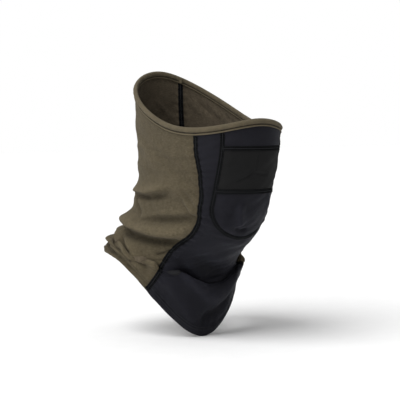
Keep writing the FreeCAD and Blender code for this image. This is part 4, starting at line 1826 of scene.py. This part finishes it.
    def sew_binding(self, maker: StitchMaker, finishes: Finishes) -> None:
        """Sew the row of stitches through the tape, seen on both faces.

        Args:
            maker: What lays the stitches.
            finishes: The gaiter's materials.
        """
        fine = np.linspace(0, 2 * math.pi, 721)
        level = self.form.walk_from(0.0, fine, np.array((self.stitch_below,)))[0]
        line = SewingLine(self.form, level, fine)
        grains = line.grains(StitchKind.RUNNING, self.stitch_pitch, 1.0, 0.38)
        grains += line.grains(StitchKind.RUNNING, self.stitch_pitch, 1.0, 1.05, Face.INSIDE)
        piece = maker.sew("rim_tape_stitches", grains, 0.55 * MM, 0.45 * MM,
                          finishes.binding_thread, 3)
        hand_over(piece, Slot.BINDING_THREAD, "binding_stitching")

    def sew_tack(self, maker: StitchMaker, finishes: Finishes, back: float) -> None:
        """Sew the dense tack through the lapped end of the tape, on both faces.

        Args:
            maker: What lays the stitches.
            finishes: The gaiter's materials.
            back: The back seam's angle at the rim, in radians.
        """
        level = self.form.walk_from(0.0, np.array((back,)), np.linspace(0.4, 6.6, 12))[:, 0]
        line = SewingLine(self.form, level, np.full(level.shape, back))
        grains = line.grains(StitchKind.SATIN, 0.5, 0.9, 2.4)
        grains += line.grains(StitchKind.SATIN, 0.5, 2.2, 2.95, Face.INSIDE)
        piece = maker.sew("rim_tape_tack", grains, 0.55 * MM, 0.6 * MM,
                          finishes.tack_thread, 4)
        hand_over(piece, Slot.SEAM_THREAD, "binding_tack")


# ---------------------------------------------------------------- seams and hem


@dataclass
class Sewing:
    """Every seam of the tube and the coverstitch along its hem."""

    form: DrapedForm
    hem_line: float = HEM_LINE

    def seams(self) -> list[Seam]:
        """Return the tube's seams.

        Returns:
            The seams, in the order in which they are sewn.
        """
        form = self.form
        long_levels = np.linspace(0.06, LAST_LEVEL - 0.02, 400)
        cheek = form.cheek_angle(long_levels)
        share = np.linspace(-1, 1, 120)
        upper = form.insert_level(share, form.mouth_top)
        lower = form.insert_level(share, form.mouth_bottom)
        level, angle = self.insert_outline()
        wide = StitchKind.FLATLOCK
        return [
            Seam("right_cheek_seam", SewingLine(form, long_levels, cheek),
                 3.0, 0.42, wide, 3.0, 31),
            Seam("left_cheek_seam", SewingLine(form, long_levels, -cheek),
                 3.0, 0.42, wide, 3.0, 32),
            Seam("back_seam", SewingLine(form, long_levels, form.back_angle(long_levels)),
                 3.0, 0.42, wide, 3.0, 33),
            Seam("insert_seam", SewingLine(form, level, angle), 2.7, 0.46, wide, 3.0, 34),
            Seam("mouth_seam_upper", SewingLine(form, upper,
                                                share * form.insert_angle(upper)),
                 2.8, 0.60, wide, 2.6, 35),
            Seam("mouth_seam_lower", SewingLine(form, lower,
                                                share * form.insert_angle(lower)),
                 2.8, 0.60, wide, 2.6, 36),
        ]

    def insert_outline(self) -> tuple[np.ndarray, np.ndarray]:
        """Return the insert's U from its right end at the rim round to its left end.

        Returns:
            The levels and the angles along the U.
        """
        form = self.form
        half = form.insert_half_width
        turn = np.linspace(1, -1, 90) * math.pi / 2
        level, angle = form.front_place(half * np.sin(turn),
                                        form.insert_bottom + half - half * np.cos(turn))
        side = np.linspace(0.06, float(level[0]), 90)[:-1]
        return (np.concatenate((side, level, side[::-1])),
                np.concatenate((form.insert_angle(side), angle,
                                -form.insert_angle(side[::-1]))))

    def build(self, maker: StitchMaker, finishes: Finishes) -> None:
        """Build and hand over the seams and the hem's stitches.

        Args:
            maker: What lays the stitches.
            finishes: The gaiter's materials.
        """
        for seam in self.seams():
            seam.build(maker, finishes)
        self.sew_hem(maker, finishes)

    def sew_hem(self, maker: StitchMaker, finishes: Finishes) -> None:
        """Sew the hem's coverstitch, olive on the sides and black on the front.

        Args:
            maker: What lays the stitches.
            finishes: The gaiter's materials.
        """
        cheek = float(self.form.cheek_angle(np.array((LAST_LEVEL - 0.2,)))[0])
        runs = (("side_hem_stitches", cheek, 2 * math.pi - cheek, finishes.hem_thread, 5),
                ("front_hem_stitches", -cheek, cheek, finishes.seam_thread, 6))
        for name, start, stop, thread, seed in runs:
            fine = np.linspace(start, stop, 400)
            level = self.form.walk_from(LAST_LEVEL, fine, np.array((self.hem_line,)))[0]
            line = SewingLine(self.form, level, fine)
            grains = line.grains(StitchKind.TWO_NEEDLE, 2.8, 1.5, 0.14)
            grains += line.grains(StitchKind.LOOPER, 2.8, 1.5, 1.45, Face.INSIDE)
            piece = maker.sew(name, grains, 0.6 * MM, 0.42 * MM, thread, seed)
            hand_over(piece, Slot.SEAM_THREAD, "hem_stitching")


# ---------------------------------------------------------------- the room


@dataclass(frozen=True)
class Studio:
    """A pale floor, soft lamps and the camera.

    A lamp has a direction towards the camera, to its right and up, a spread in degrees and
    a power.
    """

    azimuth: float = -35.0
    elevation: float = 4.0
    distance: float = 1.5
    lens: float = 113.4
    target: tuple[float, float, float] = (0.0, -0.039, 0.032)
    framing: tuple[float, float] = (-0.00952, 0.00714)
    room_light: float = 0.22
    lamps: tuple[tuple[str, tuple[float, float, float], float, float], ...] = (
        ("key", (0.9, -0.9, 1.5), 45.0, 2.6),
        ("fill", (1.0, -0.9, 0.05), 50.0, 0.75),
        ("top", (0.1, 0.0, 1.0), 60.0, 0.9),
    )

    def directions(self) -> tuple[Vector, Vector, Vector]:
        """Return the camera's backward, right and upward directions.

        Returns:
            The three directions, each of length one.
        """
        turn, rise = math.radians(self.azimuth), math.radians(self.elevation)
        back = Vector((math.sin(turn) * math.cos(rise), -math.cos(turn) * math.cos(rise),
                       math.sin(rise)))
        right = Vector((math.cos(turn), math.sin(turn), 0))
        return back, right, back.cross(right)

    def build(self) -> None:
        """Build the room, the lamps and the camera."""
        self.build_floor()
        self.build_camera()
        back, right, up = self.directions()
        self.build_sky()
        bpy.context.scene.view_settings.view_transform = "Standard"
        for name, (near, aside, above), spread, power in self.lamps:
            self.add_lamp(name, back * near + right * aside + up * above, spread, power)

    def build_sky(self) -> None:
        """Surround the gaiter with a plain white room that gives a dim, even light."""
        world = bpy.data.worlds.new("studio")
        world.use_nodes = True
        nodes, links = world.node_tree.nodes, world.node_tree.links
        sky = nodes["Background"]
        sky.inputs["Color"].default_value = (1.0, 1.0, 1.0, 1.0)
        path = nodes.new("ShaderNodeLightPath")
        level = nodes.new("ShaderNodeMapRange")
        level.inputs["To Min"].default_value = self.room_light
        level.inputs["To Max"].default_value = 1.0
        links.new(path.outputs["Is Camera Ray"], level.inputs["Value"])
        links.new(level.outputs["Result"], sky.inputs["Strength"])
        bpy.context.scene.world = world

    def build_floor(self) -> None:
        """Lay a pale floor under the hem's lowest point."""
        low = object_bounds()[0].z
        mesh = bpy.data.meshes.new("floor")
        corners = [(-6, -6, low), (6, -6, low), (6, 6, low), (-6, 6, low)]
        mesh.from_pydata(corners, [], [(0, 1, 2, 3)])
        board = Board("pale_floor")
        grain = board.noise(board.place(), 60.0, 2.0, 0.5)
        colour = board.mix(grain, (0.90, 0.90, 0.90), (0.94, 0.94, 0.94))
        mesh.materials.append(board.finish(colour, 0.9, grain, 0.0001))
        floor = make_object("floor", mesh)
        floor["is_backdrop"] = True

    def build_camera(self) -> None:
        """Set up the camera at the viewing angle."""
        back, right, up = self.directions()
        aim = Vector(self.target) + right * self.framing[0] + up * self.framing[1]
        data = bpy.data.cameras.new("camera")
        data.lens = self.lens
        data.sensor_width = 36.0
        camera = bpy.data.objects.new("camera", data)
        camera.location = aim + back * self.distance
        camera.rotation_euler = back.to_track_quat("Z", "Y").to_euler()
        bpy.context.scene.collection.objects.link(camera)
        bpy.context.scene.camera = camera

    def add_lamp(self, name: str, towards: Vector, spread: float, power: float) -> None:
        """Add one far, soft lamp.

        Args:
            name: The lamp's name.
            towards: The direction in which the lamp lies.
            spread: How many degrees of the room it fills.
            power: Its strength.
        """
        data = bpy.data.lights.new(name, "SUN")
        data.angle = math.radians(spread)
        data.energy = power
        lamp = bpy.data.objects.new(name, data)
        lamp.rotation_euler = towards.to_track_quat("Z", "Y").to_euler()
        bpy.context.scene.collection.objects.link(lamp)


def dress_elastic(finishes: Finishes) -> None:
    """Give the carried-over elastic its finish.

    Args:
        finishes: The gaiter's materials.
    """
    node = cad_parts["binding_elastic"]
    for slot in node.material_slots:
        slot.material = finishes.elastic
    if not node.material_slots:
        node.data.materials.append(finishes.elastic)


def main() -> None:
    """Build the gaiter and its room."""
    logging.basicConfig(level=logging.INFO, format="%(name)s %(message)s")
    form = DrapedForm()
    finishes = Finishes.make_all()
    maker = StitchMaker()
    cutter = ClothCutter(form)
    SidePanels(cutter).build(finishes)
    FrontPanel(cutter).build(finishes)
    Insert(cutter).build(finishes)
    Sewing(form).build(maker, finishes)
    RimBinding(form).build(maker, finishes)
    dress_elastic(finishes)
    Studio().build()


if __name__ == "__main__":
    main()
